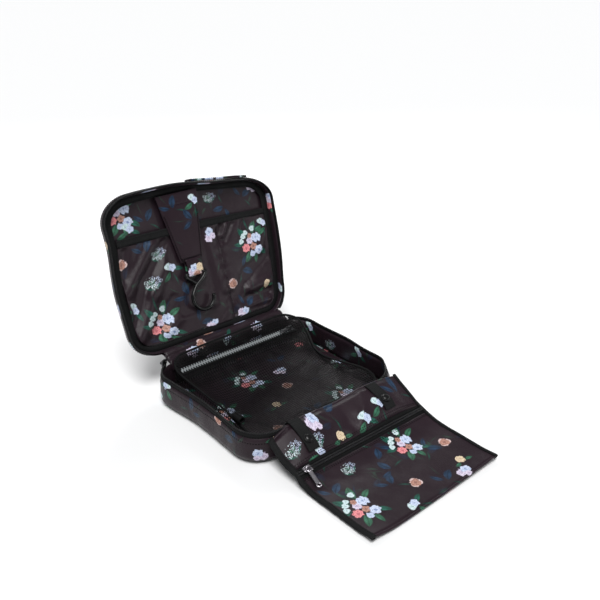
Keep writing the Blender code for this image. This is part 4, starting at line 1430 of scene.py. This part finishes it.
def make_slider(name, matrix, base_height, material, pull_length, pull_turn, scale=1.0):
    """A cast slider with wings, side rails and a crown bridge, and a pull of ring, neck and eyed tab."""
    wing = [(-0.005, -0.0036), (-0.0022, -0.0042), (0.0022, -0.0034), (0.005, -0.0026), (0.005, 0.0026),
            (0.0022, 0.0034), (-0.0022, 0.0042), (-0.005, 0.0036)]
    wing = [(x * scale, y * scale) for x, y in wing]
    body = plate(name + "_cast", [wing], base_height - 0.0003, base_height + 0.0013, 0.0004, material, matrix)
    top = base_height + 0.0013
    arch = [Vector((x, 0, top + rise)) for x, rise in ((-0.004, -0.0004), (-0.0034, 0.0018),
                                                       (-0.0016, 0.003),
                                                       (0.0016, 0.003), (0.0034, 0.0018), (0.004, -0.0004))]
    crown = tube(name + "_crown", [matrix @ spot for spot in smooth_path(arch, 4)], 0.00068, material,
                 sides=8, flat=1.5)
    rails = []
    for sign in (-1, 1):
        line = [matrix @ Vector((x, sign * y * scale, base_height + 0.0006)) for x, y in
                ((-0.0046, 0.0036), (-0.001, 0.0038), (0.0046, 0.0024))]
        rails.append(tube(name + "_rail", smooth_path(line, 3), 0.00065, material, sides=8))
    cast = join([body, crown] + rails)
    declare(cast, name, [name])

    pull_name = name.replace("slider", "pull")
    swivel = matrix @ Matrix.Rotation(pull_turn, 4, "Z")
    level = top + 0.0008
    eye = [swivel @ Vector((x, y, level + 0.0002)) for x, y in ring_of(0, 0.0016, 0.0026, 0.004, 28)]
    link = tube(pull_name + "_link", eye, 0.00062, material, sides=8, closed=True)
    half, tail = 0.0024, 0.0031
    start = 0.0056
    far = pull_length - tail
    outline = ([(half - 0.0006, start), (half, start + 0.001), (half, far - 0.0025)]
               + [(tail * cos(angle), far + tail * sin(angle))
                  for angle in [radians(-30 + 240 * k / 16) for k in range(17)]]
               + [(-half, far - 0.0025), (-half, start + 0.001), (-half + 0.0006, start)])
    tab = plate(pull_name + "_tab", [outline, ring_of(0, far, 0.0018)], level - 0.0005, level + 0.0007,
                0.0003, material, swivel)
    rim = [swivel @ Vector((x, y, level + 0.0003)) for x, y in ring_of(0, far, 0.0025)]
    raised = tube(pull_name + "_rim", rim, 0.0007, material, sides=8, closed=True)
    pull = join([link, tab, raised])
    pull.name = pull_name + "_cast"
    declare(pull, pull_name, [pull_name])


def make_sliders():
    """The four zip sliders: one on the pouch, one on the net, and two at the main zip's open ends."""
    pouch_zip = POUCH_FRAME @ Matrix.Translation((-0.085, POUCH_ZIP + 0.0008, 0.0175))
    make_slider("pouch_slider", pouch_zip @ Matrix.Rotation(pi, 4, "Y"), 0.0014, "silver", 0.028,
                radians(-11))
    mesh_zip = mesh_zip_frame() @ Matrix.Translation((MESH_ZIP_X[1] - 0.008, 0, 0))
    make_slider("mesh_slider", mesh_zip @ Matrix.Rotation(pi, 4, "Z"), 0.0018, "lacquer", 0.018,
                radians(-78))
    for side, sign in (("left", -1), ("right", 1)):
        outward = Vector((sign * sin(radians(30)), cos(radians(30)), 0))
        down = Vector((0, 0, -1))
        along = down.cross(outward)
        corner = Vector((sign * (HALF_WIDTH - CORNER), HALF_DEPTH - CORNER, BASE_RIM + 0.0005))
        if side == "right":
            corner.z -= 0.004
        matrix = Matrix.Translation(corner) @ Matrix((along, down, outward)).transposed().to_4x4()
        make_slider("main_slider_" + side, matrix, CORNER + 0.0003, "lacquer", 0.0175, 0.0,
                    1.15 if side == "left" else 0.8)


# --- the lid's inside --------------------------------------------------------------------------------
POCKET_STAMPS = ((1, -103, 126, 0), (5, -72, 134, 30), (6, -56, 124, 0), (3, -46, 108, 20),
                 (6, -69, 92, 0), (0, -70, 44, 0), (0, 79, 110, 0), (7, 17, 133, 60),
                 (1, 36, 62, 10), (4, 92, 50, 0), (5, 52, 30, 0), (5, -30, 70, 60),
                 (3, -100, 70, -30), (5, 58, 78, -60), (3, 100, 134, 0), (7, 45, 22, 0),
                 (7, -10, 22, 0), (5, -25, 30, -40))
LID_LINING_STAMPS = ((0, -94, 188, 0), (3, -88, 168, 0), (5, -62, 170, 20), (5, 50, 170, 160),
                     (6, 32, 182, 0), (3, 0, 150, 0), (5, 82, 182, 0), (0, 40, 100, 0),
                     (0, -50, 60, 0), (7, 100, 196, 0))


def pocket_limit(x, v):
    """How far the pocket may stand up: low under the strap and the hook."""
    under = max(0.0, 1 - max(0.0, abs(x - STRAP_X - 0.001) - 0.024) / 0.014)
    under *= max(0.0, min(1.0, (v - 0.03) / 0.012))
    share = under * under * (3 - 2 * under)
    return -0.0078 - 0.0074 * share


def fold_height(x, v):
    """The height of the pocket's soft folds at a point."""
    total = 0.0
    for x0, v0, x1, v1, width, height in POCKET_FOLDS:
        along = Vector((x1 - x0, v1 - v0))
        share = min(1.0, max(0.0, Vector((x - x0, v - v0)).dot(along) / along.length_squared))
        gap = Vector((x - x0, v - v0)) - along * share
        total += 1.7 * height * exp(-(gap.length / (1.25 * width)) ** 2)
    return total


def make_pocket():
    """The lid's gathered pocket with its seam, settled as cloth and drawn into soft folds."""
    columns, rows = 92, 58
    low_corner = 0.021

    def spot(i, j):
        return POCKET_HALF * spread(i, columns), POCKET_LOW + (POCKET_TOP - POCKET_LOW) * j / rows

    def edge_inset(v):
        rise = v - POCKET_LOW
        return 0.0 if rise > low_corner else low_corner - sqrt(low_corner ** 2 - (low_corner - rise) ** 2)

    def local(i, j):
        x, v = spot(i, j)
        x *= 1 - edge_inset(v) / POCKET_HALF
        top = exp(-((POCKET_TOP - v) / 0.03) ** 2)
        gather = 0.001 * top * sin(x * 520 + 2.2 * sin(x * 90)) * min(1.0, (POCKET_HALF - abs(x)) / 0.012)
        drape = 0.0016 * noise.noise(Vector((x * 22 + v * 14, v * 9, 5.0)))
        return Vector((x, v, POCKET_Z + gather + drape * sin(pi * j / rows) ** 0.7))
    pocket = grid("lid_pocket_cloth", lambda i, j: LID_FRAME @ local(i, j), spot, columns, rows,
                  "lining", POCKET_STAMPS)
    held = []
    inverse = LID_FRAME.inverted()
    for vert in pocket.data.vertices:
        i, j = vert.index % (columns + 1), vert.index // (columns + 1)
        x, v = spot(i, j)
        if j in (0, rows) or i in (0, columns):
            held.append(vert.index)
        elif abs(x - DIVIDER_X) < POCKET_HALF / columns and v < POCKET_TOP - 0.004:
            held.append(vert.index)
            sewn = inverse @ vert.co
            sewn.z = -0.0172 if j % 4 else -0.0166
            vert.co = LID_FRAME @ sewn
    run_cloth(pocket, held, 30, -0.075, gravity=0.8, stiffness=10.0, bending=0.4)
    floor_z = -LID_DEPTH + LINING_FLOOR["lid"] + 0.0012
    seam_column = round(columns * (1 + DIVIDER_X / POCKET_HALF) / 2)
    seam = []
    for vert in pocket.data.vertices:
        spot_now = inverse @ vert.co
        sag = spot_now.z - POCKET_Z
        folds = fold_height(spot_now.x, spot_now.y) * min(1.0, (POCKET_TOP - spot_now.y) / 0.004)
        spot_now.z = POCKET_Z + 0.45 * sag / (1 + abs(sag) / 0.004) + folds
        limit = pocket_limit(spot_now.x, spot_now.y)
        over = spot_now.z - limit
        if over > -0.002:
            spot_now.z = limit - 0.002 * exp(-(over + 0.002) / 0.002)
        from_seam = spot_now.x - DIVIDER_X
        drawn_in = 0.0021 * exp(-(from_seam / 0.0026) ** 2)
        pucker = 0.0007 * exp(-(from_seam / 0.008) ** 2) * sin(spot_now.y * 430)
        spot_now.z = max(spot_now.z - min(1.0, (POCKET_TOP - spot_now.y) / 0.006) * (drawn_in + pucker),
                         floor_z)
        vert.co = lid_place(spot_now)
        if vert.index % (columns + 1) == seam_column and 1 < vert.index // (columns + 1) < rows - 1:
            seam.append(lid_place(spot_now + Vector((0, 0, 0.0006))))
    thicken(pocket, 0.0006, 1)
    declare(pocket, "lid", ["lid_pocket", "lid_pocket_divider"],
            (2 * POCKET_HALF * 1.08, (POCKET_TOP - POCKET_LOW) * 1.05))

    stitches("lid_pocket_seam_stitches", [seam], "lid", 0.003, 0.001785, 0.000748)
    make_elastic()


def make_elastic():
    """The elastic band along the pocket's mouth."""
    columns, rows = 120, 5

    def elastic_point(i, j):
        x = POCKET_HALF * spread(i, columns)
        v = POCKET_TOP + 0.0002 + (ELASTIC_TOP - POCKET_TOP) * j / rows
        dip = -0.0035 * sin(pi * i / columns) ** 2
        pucker = 0.0003 * sin(x * 900) * (1 - j / rows)
        return lid_place(Vector((x, v + dip * 0.6, POCKET_Z + 0.0006 + pucker)))
    band = grid("lid_elastic_band", elastic_point, lambda i, j: (0.213 * i / columns, 0.01 * j / rows),
                columns, rows, "grosgrain")
    thicken(band, 0.0011)
    declare(band, "lid", ["lid_pocket_elastic"], (2 * POCKET_HALF, 0.01))
    rows_of = []
    for v in (POCKET_TOP + 0.0022, ELASTIC_TOP - 0.0018):
        line = []
        for k in range(81):
            x = POCKET_HALF * spread(k, 80)
            line.append(lid_place(Vector((x, v - 0.0021 * sin(pi * k / 80) ** 2, POCKET_Z + 0.0013))))
        rows_of.append(line)
    stitches("lid_elastic_stitches", rows_of, "lid", 0.0034, 0.00187, 0.000528, "black_thread")


def make_lid_frame():
    """The flat black tape round the lid's lining, with a row of stitches along each edge."""
    inset, width = 0.0026, 0.0104
    top = POCKET_Z - 0.0004
    profile = [(inset, top - 0.0012), (inset, top), (inset + width * 0.5, top + 0.0004), (inset + width, top),
               (inset + width, top - 0.0012)]
    band = tray_band("lid_frame_tape", "lid", profile, "grosgrain")
    declare(band, "lid", ["lid_lining_frame"], (LOOP, width))
    lines = [rim_path("lid", inset + shift, top + 0.0006, 0.0, LOOP) for shift in (0.0015, 0.009)]
    stitches("lid_frame_stitches", lines, "lid", 0.0033, 0.00187, 0.000528, "black_thread")


def strap_half(v):
    """Half the hook strap's width, which narrows towards its end."""
    return STRAP_WIDE + (STRAP_NARROW - STRAP_WIDE) * (STRAP_TOP - v) / (STRAP_TOP - STRAP_END)


def make_strap():
    """The hook's strap in two parts, which meet at its fold, with its stitches, loop and hook."""
    thickness = 0.0022
    columns = 28
    stamps = ((3, 21, 184, 0), (5, -10, 178, 40), (5, 14, 160, 90))

    def surface(v0, v1, name):
        rows = max(6, round((v1 - v0) / 0.003))

        def point(i, j):
            v = v0 + (v1 - v0) * j / rows
            across = spread(i, columns)
            bow = 0.001 * (1 - across ** 2) + 0.0006 * noise.noise(Vector((across * 1.4, v * 40, 0.7)))
            lean = 0.0012 * across * (v - STRAP_END) / 0.08
            return LID_FRAME @ Vector((STRAP_X + strap_half(v) * across, v, STRAP_Z + 0.0006 + bow + lean))

        def cloth(i, j):
            v = v0 + (v1 - v0) * j / rows
            return strap_half(v) * spread(i, columns), v
        piece = grid(name, point, cloth, columns, rows, "flat_satin", stamps)
        thicken(piece, thickness)
        return round_edges(piece, 0.0006)

    def at(v):
        return LID_FRAME @ Vector((STRAP_X, v, STRAP_Z))
    split = STRAP_FOLD + 0.0012
    root = surface(split, STRAP_TOP + 0.0015, "strap_root_cloth")
    declare(root, None, ["strap_root"], (0.06, STRAP_TOP - split),
            blend=("lid", "strap_root", at(STRAP_TOP + 0.001), at(STRAP_TOP - 0.006)))
    main = surface(STRAP_END, split, "hook_strap_cloth")
    declare(main, None, ["hook_strap"], (0.05, split - STRAP_END),
            blend=("strap_root", "hook_strap", at(split), at(split - 0.007)))
    lift = STRAP_Z + 0.0006 + thickness / 2 + 0.0004

    def edge_line(shift, v0, v1, sign):
        line = []
        for k in range(25):
            v = v0 + (v1 - v0) * k / 24
            x = sign * (strap_half(v) - shift)
            across = x / strap_half(v)
            line.append(LID_FRAME @ Vector((STRAP_X + x, v, lift + 0.001 * (1 - across ** 2)
                                            + 0.0012 * across * (v - STRAP_END) / 0.08)))
        return line
    rows = [edge_line(0.0022, STRAP_END + 0.002, split - 0.008, sign) for sign in (-1, 1)]
    for v in (STRAP_END + 0.002, STRAP_END + 0.0044):
        half = strap_half(v) - 0.002
        rows.append([LID_FRAME @ Vector((STRAP_X - half + 2 * half * k / 12, v, lift + 0.0008))
                     for k in range(13)])
    stitches("hook_strap_stitches", rows, "hook_strap", 0.0027, 0.001615, 0.000814)
    make_loop()
    make_hook()


def make_loop():
    """The loop of folded cloth at the strap's end, round the hook's bar."""
    inner = HOOK_WIRE + 0.0003
    back, front = BAR_Z - inner, BAR_Z + inner
    spots = [(STRAP_END + 0.004, back - 0.0004), (STRAP_END - 0.004, back), (BAR_V + 0.002, back)]
    spots += [(BAR_V - inner * sin(pi * k / 6), BAR_Z - inner * cos(pi * k / 6)) for k in range(1, 6)]
    spots += [(BAR_V + 0.002, front), (STRAP_END - 0.005, front), (STRAP_END + 0.003, front - 0.001)]
    curve = smooth_path([Vector((0, v, z)) for v, z in spots], 3)
    columns = 12

    def point(i, j):
        spot = curve[j].copy()
        spot.x = STRAP_X + LOOP_HALF * spread(i, columns)
        return LID_FRAME @ spot
    lengths = arc_lengths(curve)
    stamps = ((7, -4, 33, 30), (1, 1, 27, 0), (4, 7, 36, 0), (3, -2, 21, 0))
    loop = grid("hook_loop_cloth", point, lambda i, j: (LOOP_HALF * spread(i, columns), lengths[j]),
                columns, len(curve) - 1, "flat_satin", stamps)
    thicken(loop, 0.001)
    declare(loop, "hook_strap", ["hook_loop"], (2 * LOOP_HALF, lengths[-1]))


def make_hook():
    """Bent wire: a bar through the loop, two legs that cross under it, and a J."""
    side = LOOP_HALF + 0.0008 + HOOK_WIRE
    centre, radius = (0.0022, 0.0577), 0.0157
    head = [(-0.0029, 0.0779), (-0.0086, 0.083), (-side + 0.0002, 0.0876), (-side + 0.0004, 0.0902),
            (-side + 0.0026, BAR_V - 0.0001), (0, BAR_V), (side - 0.0026, BAR_V - 0.0001),
            (side - 0.0004, 0.09), (side - 0.0008, 0.0874), (0.007, 0.081), (-0.003, 0.0745)]
    arch = [(centre[0] + radius * cos(a), centre[1] + radius * sin(a))
            for a in [radians(152 + (356 - 152) * k / 12) for k in range(13)]]
    path = [Vector((STRAP_X + x, v, BAR_Z + 0.0007)) for x, v in head + arch]
    for spot in path[len(head):]:
        spot.z += 0.0022
    path[0].z -= 0.0012
    path[1].z -= 0.0006
    path = [LID_FRAME @ spot for spot in smooth_path(path, 6)]
    hook = tube("hook_wire", path, HOOK_WIRE, "gloss_black", sides=14)
    declare(hook, "hook", ["hook"])


def make_handle():
    """The carrying handle sewn flat to the lid's front wall."""
    face = HINGE_OFFSET + 2 * HALF_DEPTH
    middle = -LID_DEPTH / 2 - 0.001
    columns, rows = 50, 6

    def lift(share):
        return 0.0013 + 0.0006 * max(0.0, 1 - share ** 2)

    def point(i, j):
        share = spread(i, columns)
        across = spread(j, rows)
        crown = 0.0007 * (1 - across ** 2)
        local = Vector((HANDLE_X + HANDLE_HALF * share, face + lift(share) + crown,
                        middle + HANDLE_WIDTH / 2 * across))
        dip = lid_local(Vector((local.x, face, middle)))
        local.y += dip.y - face
        return LID_FRAME @ local
    stamps = ((0, 34, 6, 90), (5, 12, 6, 0), (3, 80, 6, 0))

    def cloth(i, j):
        return 2 * HANDLE_HALF * i / columns, HANDLE_WIDTH * j / rows
    handle = grid("handle_cloth", point, cloth, columns, rows, "flat_satin", stamps)
    thicken(handle, 0.0026)
    declare(handle, "lid", ["handle", "handle_patch_left", "handle_patch_right"],
            (2 * HANDLE_HALF, HANDLE_WIDTH))
    outward = LID_FRAME.to_3x3() @ Vector((0, 0.0014, 0))
    lines = []
    for across in (-0.8, 0.8):
        lines.append([point(i, 3 + 3 * across) + outward for i in range(columns + 1)])
    for sign in (-1, 1):
        i = columns / 2 + sign * (columns / 2 - 3)
        lines.append([point(i, j * 0.5) + outward for j in range(1, 12)])
    stitches("handle_stitches", lines, "lid", 0.003, 0.0017, 0.000572)


# --- the pouch and its tabs --------------------------------------------------------------------------
POUCH_STAMPS = ((0, -74, -122, 0), (0, 36, -80, 0), (1, -3, -131, -20), (1, 74, -105, -10),
                (4, 63, -136, 0), (7, 50, -152, 0), (6, -43, -76, 0), (5, -24, -118, 20),
                (5, -6, -100, 70), (5, 4, -66, 200), (5, -80, -92, 0), (5, 50, -100, -70),
                (7, -46, -15, 20), (5, -22, -12, -20), (6, -84, -30, 0), (6, -56, -35, 0),
                (3, -60, -40, -20), (4, -24, -36, 0), (3, 14, -33, 0), (3, 40, -26, 0),
                (5, 78, -22, 30), (5, 26, -150, 0), (3, -30, -152, 60))


def make_pouch():
    """The flat pouch that hangs out of the base: front in two parts, back, turned edges, zip and bindings."""
    columns = 66
    half = POUCH_HALF - 0.0015

    def face(name, s0, s1, depth, stamps, nodes, puff, flat):
        rows = max(6, round((s1 - s0) / 0.003))

        def point(i, j):
            x = half * spread(i, columns)
            share = j / rows
            swell = puff * sin(pi * share) * (1 - (x / half) ** 4)
            return pouch_point(x, s0 + (s1 - s0) * share, depth - swell)

        def cloth(i, j):
            return half * spread(i, columns), -(s0 + (s1 - s0) * j / rows)
        piece = thicken(grid(name, point, cloth, columns, rows, "satin", stamps), 0.0008)
        return declare(piece, "pouch", nodes, flat)
    tape_low, tape_high = POUCH_ZIP - POUCH_TAPE / 2, POUCH_ZIP + POUCH_TAPE / 2
    face("pouch_upper_cloth", POUCH_START, tape_low + 0.0008, 0.0004, POUCH_STAMPS, ["pouch_front_upper"],
         0.0004, (2 * half, tape_low - POUCH_START))
    face("pouch_lower_cloth", tape_high - 0.0008, POUCH_END - 0.0005, 0.0004, POUCH_STAMPS,
         ["pouch_front_lower"], 0.0009, (2 * half, POUCH_END - tape_high))
    face("pouch_back_cloth", POUCH_START, POUCH_END - 0.0005, POUCH_LOFT - 0.0004,
         scatter(-100, 100, -160, 0, 3), ["pouch_back"], -0.0006, (2 * half, POUCH_END - POUCH_START))
    for name, s, sign, node_name in (("pouch_top_fold", POUCH_START, -1, "pouch_top_edge"),
                                     ("pouch_bottom_fold", POUCH_END - 0.0005, 1, "pouch_bottom_edge")):
        make_pouch_fold(name, s, sign, node_name, half, columns)
    make_pouch_zip(tape_low, tape_high, half)
    for side, sign in (("left", -1), ("right", 1)):
        make_binding(side, sign)


def make_pouch_fold(name, s, sign, node_name, half, columns):
    """The turned edge between the pouch's front and back."""
    steps = 6

    def point(i, j):
        x = half * spread(i, columns)
        angle = pi * j / steps
        depth = POUCH_LOFT / 2 - (POUCH_LOFT / 2 - 0.0004) * cos(angle)
        return pouch_point(x, s + sign * 0.0018 * sin(angle), depth)

    def cloth(i, j):
        return half * spread(i, columns), -(s + sign * 0.0072 * j / steps)
    piece = thicken(grid(name, point, cloth, columns, steps, "satin", POUCH_STAMPS), 0.0008)
    declare(piece, "pouch", [node_name], (2 * half, 0.0075))


def make_binding(side, sign):
    """Tape folded round the pouch's side: front flange, rounded edge, back flange."""
    width = BINDING_WIDTH
    outline = [(-width, -0.0004), (-width * 0.5, -0.0007), (-0.0016, -0.0008), (0.0004, 0.0002),
               (0.001, POUCH_LOFT / 2), (0.0004, POUCH_LOFT - 0.0002), (-0.0016, POUCH_LOFT + 0.0004),
               (-width * 0.5, POUCH_LOFT + 0.0004), (-width, POUCH_LOFT + 0.0002)]
    rows = 56
    lengths = [0.0]
    for (a, b), (c, d) in zip(outline, outline[1:]):
        lengths.append(lengths[-1] + hypot(c - a, d - b))

    def point(i, j):
        out, depth = outline[j]
        s = POUCH_START - 0.0022 + (POUCH_END - POUCH_START + 0.0042) * i / rows
        pucker = 0.0004 * noise.noise(Vector((s * 160, sign * 3.0, out * 200)))
        return pouch_point(sign * (POUCH_HALF + out + pucker), s, depth + pucker)
    piece = grid("pouch_binding_cloth_" + side, point, lambda i, j: (0.153 * i / rows, lengths[j]), rows,
                 len(outline) - 1, "grosgrain")
    thicken(piece, 0.0009)
    declare(piece, "pouch", ["pouch_binding_" + side], (POUCH_END - POUCH_START + 0.004, lengths[-1]))
    line = []
    for k in range(51):
        s = POUCH_START + (POUCH_END - POUCH_START) * k / 50
        line.append(pouch_point(sign * (POUCH_HALF - width + 0.0016), s, -0.0012))
    stitches("pouch_binding_stitches_" + side, [line], "pouch", 0.0032, 0.00187, 0.000528, "black_thread")


def pouch_line(half, s, depth):
    """A line across the pouch, at one distance along its cloth."""
    return [pouch_point(half * spread(k, 60), s, depth) for k in range(61)]


def make_pouch_zip(tape_low, tape_high, half):
    columns, rows = 66, 8

    def tape_point(i, j):
        return pouch_point(half * spread(i, columns), tape_low + (tape_high - tape_low) * j / rows,
                           0.001)
    tape = grid("pouch_zip_cloth", tape_point, lambda i, j: (0.194 * i / columns, 0.014 * j / rows), columns,
                rows, "tape")
    thicken(tape, 0.0007)
    declare(tape, "pouch", ["pouch_zip_tape"], (2 * half, POUCH_TAPE))
    for label, shift, nodes in (("upper", -0.0012, ["pouch_zip_coil"]), ("lower", 0.0012, [])):
        line = pouch_line(half, POUCH_ZIP + shift, -0.0002)
        coil = tube("pouch_coil_" + label, coil_path(line, 0.0009, 0.0012), 0.00042, "coil", sides=5)
        declare(coil, "pouch", nodes)
    for label, shift in (("upper", -0.004), ("lower", 0.004)):
        line = pouch_line(half, POUCH_ZIP + shift, 0.0004)
        declare(tube("pouch_zip_cord_" + label, line, 0.0007, "tape", sides=6), "pouch")
    rows = [pouch_line(half, s, -0.0002)
            for s in (tape_low - 0.0012, tape_low - 0.0032, tape_high + 0.0012, tape_high + 0.0032)]
    stitches("pouch_zip_stitches", rows, "pouch", 0.003, 0.0017, 0.000572)


def lathe(name, profile, matrix, material, steps=32):
    """A turned piece from (radius, height) points, closed at the axis by small rings."""
    def point(i, j):
        radius, height = profile[j]
        angle = 2 * pi * i / steps
        return matrix @ Vector((radius * cos(angle), radius * sin(angle), height))
    piece = grid(name, point, lambda i, j: (0.001 * i, 0.001 * j), steps, len(profile) - 1, material,
                 around=True)
    weld(piece.data, 0.000004)
    return piece


def make_tabs():
    """The two snap tabs that hold the pouch: root, strap, cap, socket and stitches."""
    width, thickness = 0.0152, 0.0013
    start_at, end_at = 0.0024, 0.0385
    for side, x in TABS_X.items():
        sag = 0.005 if side == "left" else 0.001
        rim = base_place(Vector((x, -HALF_DEPTH, BASE_RIM)))
        wall_low = base_place(Vector((x, -HALF_DEPTH + 0.004, 0.02)))
        wall_high = base_place(Vector((x, -HALF_DEPTH + 0.0034, BASE_RIM - 0.003)))
        over = Vector((x, rim.y + 0.0004, BASE_RIM + 0.0022))
        start = POUCH_FRAME @ Vector((x, start_at, -0.001))
        near = over.lerp(start, 0.5) + Vector((0, 0, 0.0005))
        curve = smooth_path([wall_low, wall_high, over, near, start], 6)
        root = web_strip("tab_root_web_" + side, curve, width, thickness)
        declare(root, None, ["tab_root_" + side], (0.034, width),
                blend=("base", "pouch", over, start))

        def strap_depth(s):
            past_snap = max(0.0, (s - SNAP_AT - 0.001) / 0.0115)
            return -0.001 + sag * min(1.0, s / SNAP_AT) ** 2 + 0.006 * past_snap ** 1.3
        reaches = [start_at + (end_at - start_at) * k / 16 for k in range(17)]
        line = [POUCH_FRAME @ Vector((x, s, strap_depth(s))) for s in reaches]
        strap = web_strip("tab_strap_web_" + side, line, width, thickness)
        declare(strap, "tab_" + side, ["tab_strap_" + side], (0.04, width))
        top = strap_depth(SNAP_AT) - thickness / 2
        tilt = Matrix.Rotation(pi + (0.3 if side == "left" else 0.1), 4, "X")
        normal_frame = POUCH_FRAME @ Matrix.Translation((x, SNAP_AT, top - 0.0019)) @ tilt
        dome = [(0.0, 0.0017), (0.0011, 0.00168), (0.0026, 0.00145), (0.0038, 0.0009), (0.0044, 0.0004),
                (0.0045, 0.0001),
                (0.0048, -0.0001), (0.0052, 0.0001), (0.0055, 0.0), (0.0056, -0.0005), (0.0054, -0.0009),
                (0.0, -0.0009)]
        cap = lathe("snap_dome_" + side, dome, normal_frame, "gloss_black")
        declare(cap, "tab_" + side, ["snap_cap_" + side])
        socket_frame = POUCH_FRAME @ Matrix.Translation((x, SNAP_AT, top + thickness + 0.0014))
        socket_frame = socket_frame @ Matrix.Rotation(pi, 4, "X")
        socket_profile = [(0.0, 0.0), (0.0016, 0.0), (0.0019, 0.0009), (0.0024, 0.0013),
                          (0.0036, 0.0012),
                          (0.0046, 0.0009), (0.0048, 0.0002), (0.0048, -0.0006), (0.0, -0.0006)]
        socket = lathe("snap_ring_" + side, socket_profile, socket_frame, "gloss_black")
        declare(socket, "pouch", ["snap_socket_" + side])
        edge = []
        for sign in (-1, 1):
            edge.append([spot + Vector((sign * (width / 2 - 0.0012), 0, 0.0007)) for spot in line[1:]])
        stitches("tab_stitches_" + side, edge, "tab_" + side, 0.003, 0.0017, 0.00044, "black_thread")


def web_strip(name, curve, width, thickness):
    """Webbing of an even width along a side curve."""
    columns = 8
    lengths = arc_lengths(curve)

    def point(i, j):
        return curve[j] + Vector((width * (-0.5 + i / columns), 0, 0))
    piece = grid(name, point, lambda i, j: (width * i / columns, lengths[j]), columns, len(curve) - 1,
                 "grosgrain")
    thicken(piece, thickness)
    return round_edges(piece, 0.0003)


# --- stage -------------------------------------------------------------------------------------------
def make_stage():
    """A white floor, an even sky and three lamps."""
    bpy.ops.mesh.primitive_plane_add(size=1, location=(0, 0, -0.0012))
    ground = bpy.context.object
    ground.name = "studio_floor"
    ground.scale = (14, 14, 1)
    material, _, _ = new_material("studio_white", (0.86, 0.86, 0.86, 1), 0.9, Specular_IOR_Level=0.05)
    ground.data.materials.append(material)

    world = bpy.data.worlds.new("studio_world")
    world.use_nodes = True
    world.node_tree.nodes["Background"].inputs["Color"].default_value = (0.96, 0.98, 1.0, 1)
    world.node_tree.nodes["Background"].inputs["Strength"].default_value = 0.3
    bpy.context.scene.world = world
    bpy.context.scene.view_settings.view_transform = "Standard"

    def lamp(name, kind, place, target, energy, **settings):
        data = bpy.data.lights.new(name, kind)
        data.energy = energy
        for label, value in settings.items():
            setattr(data, label, value)
        made = add_object(name, data)
        made.location = place
        made.rotation_euler = (Vector(target) - Vector(place)).to_track_quat("-Z", "Y").to_euler()
    lamp("overhead", "SUN", (-0.3, -0.35, 1.0), (0, 0, 0), 3.0, angle=radians(30))
    lamp("back_box", "AREA", (0.55, 0.85, 0.85), (0, 0, 0.05), 5.0, size=0.35)
    lamp("front_box", "AREA", (0.85, -1.1, 0.3), (0, 0.15, 0.12), 2.6, size=0.3)


def make_camera():
    """The camera of the photo, as fitted to it."""
    azimuth, elevation, distance = radians(-40.435), radians(25.224), 0.822
    target = Vector((-0.049, -0.098, 0.182))
    back = Vector((sin(azimuth) * cos(elevation), -cos(azimuth) * cos(elevation), sin(elevation)))
    data = bpy.data.cameras.new("camera")
    data.sensor_width = 36
    data.lens = 47.67
    data.clip_start = 0.01
    camera = add_object("camera", data)
    camera.location = target + back * distance
    camera.rotation_euler = (-back).to_track_quat("-Z", "Y").to_euler()
    bpy.context.scene.camera = camera


MATERIALS = make_materials()
make_camera()
make_stage()
make_tray("base", {
    "wall": BASE_WALL_STAMPS, "outer": scatter(-120, 120, -100, 100, 1), "inner": (
        (3, 133, 30, 0), (3, 230, 30, 0), (6, 176, 14, 0), (0, 560, 20, 0), (1, 600, 30, 0),
        (5, 290, 20, 0), (2, 400, 20, 0), (7, 40, 24, 0), (7, 800, 24, 0)),
    "lining": ((0, -12, 46, 0), (7, 34, 40, 0), (1, 18, 6, 0), (4, -20, -20, 0),
               (5, 50, 60, 0), (0, 60, -60, 0), (0, -80, 0, 0), (1, -50, -60, 0),
               (3, 107, 10, 0), (2, 100, 80, 0), (3, -90, 80, 0), (5, 10, -60, 0))})
make_tray("lid", {
    "wall": LID_WALL_STAMPS, "outer": scatter(-120, 120, 0, 210, 5), "lining": LID_LINING_STAMPS,
    "inner": ((2, 258, 12, 90), (7, 272, 14, 0), (3, 136, 12, 0), (7, 392, 12, 0),
              (7, 30, 10, 0), (7, 470, 12, 0), (1, 810, 10, 0), (5, 330, 12, 0))})
make_spine()
make_net()
make_mesh_zip()
make_tape_roll()
make_lid_frame()
make_pocket()
make_strap()
make_handle()
make_pouch()
make_tabs()
make_sliders()
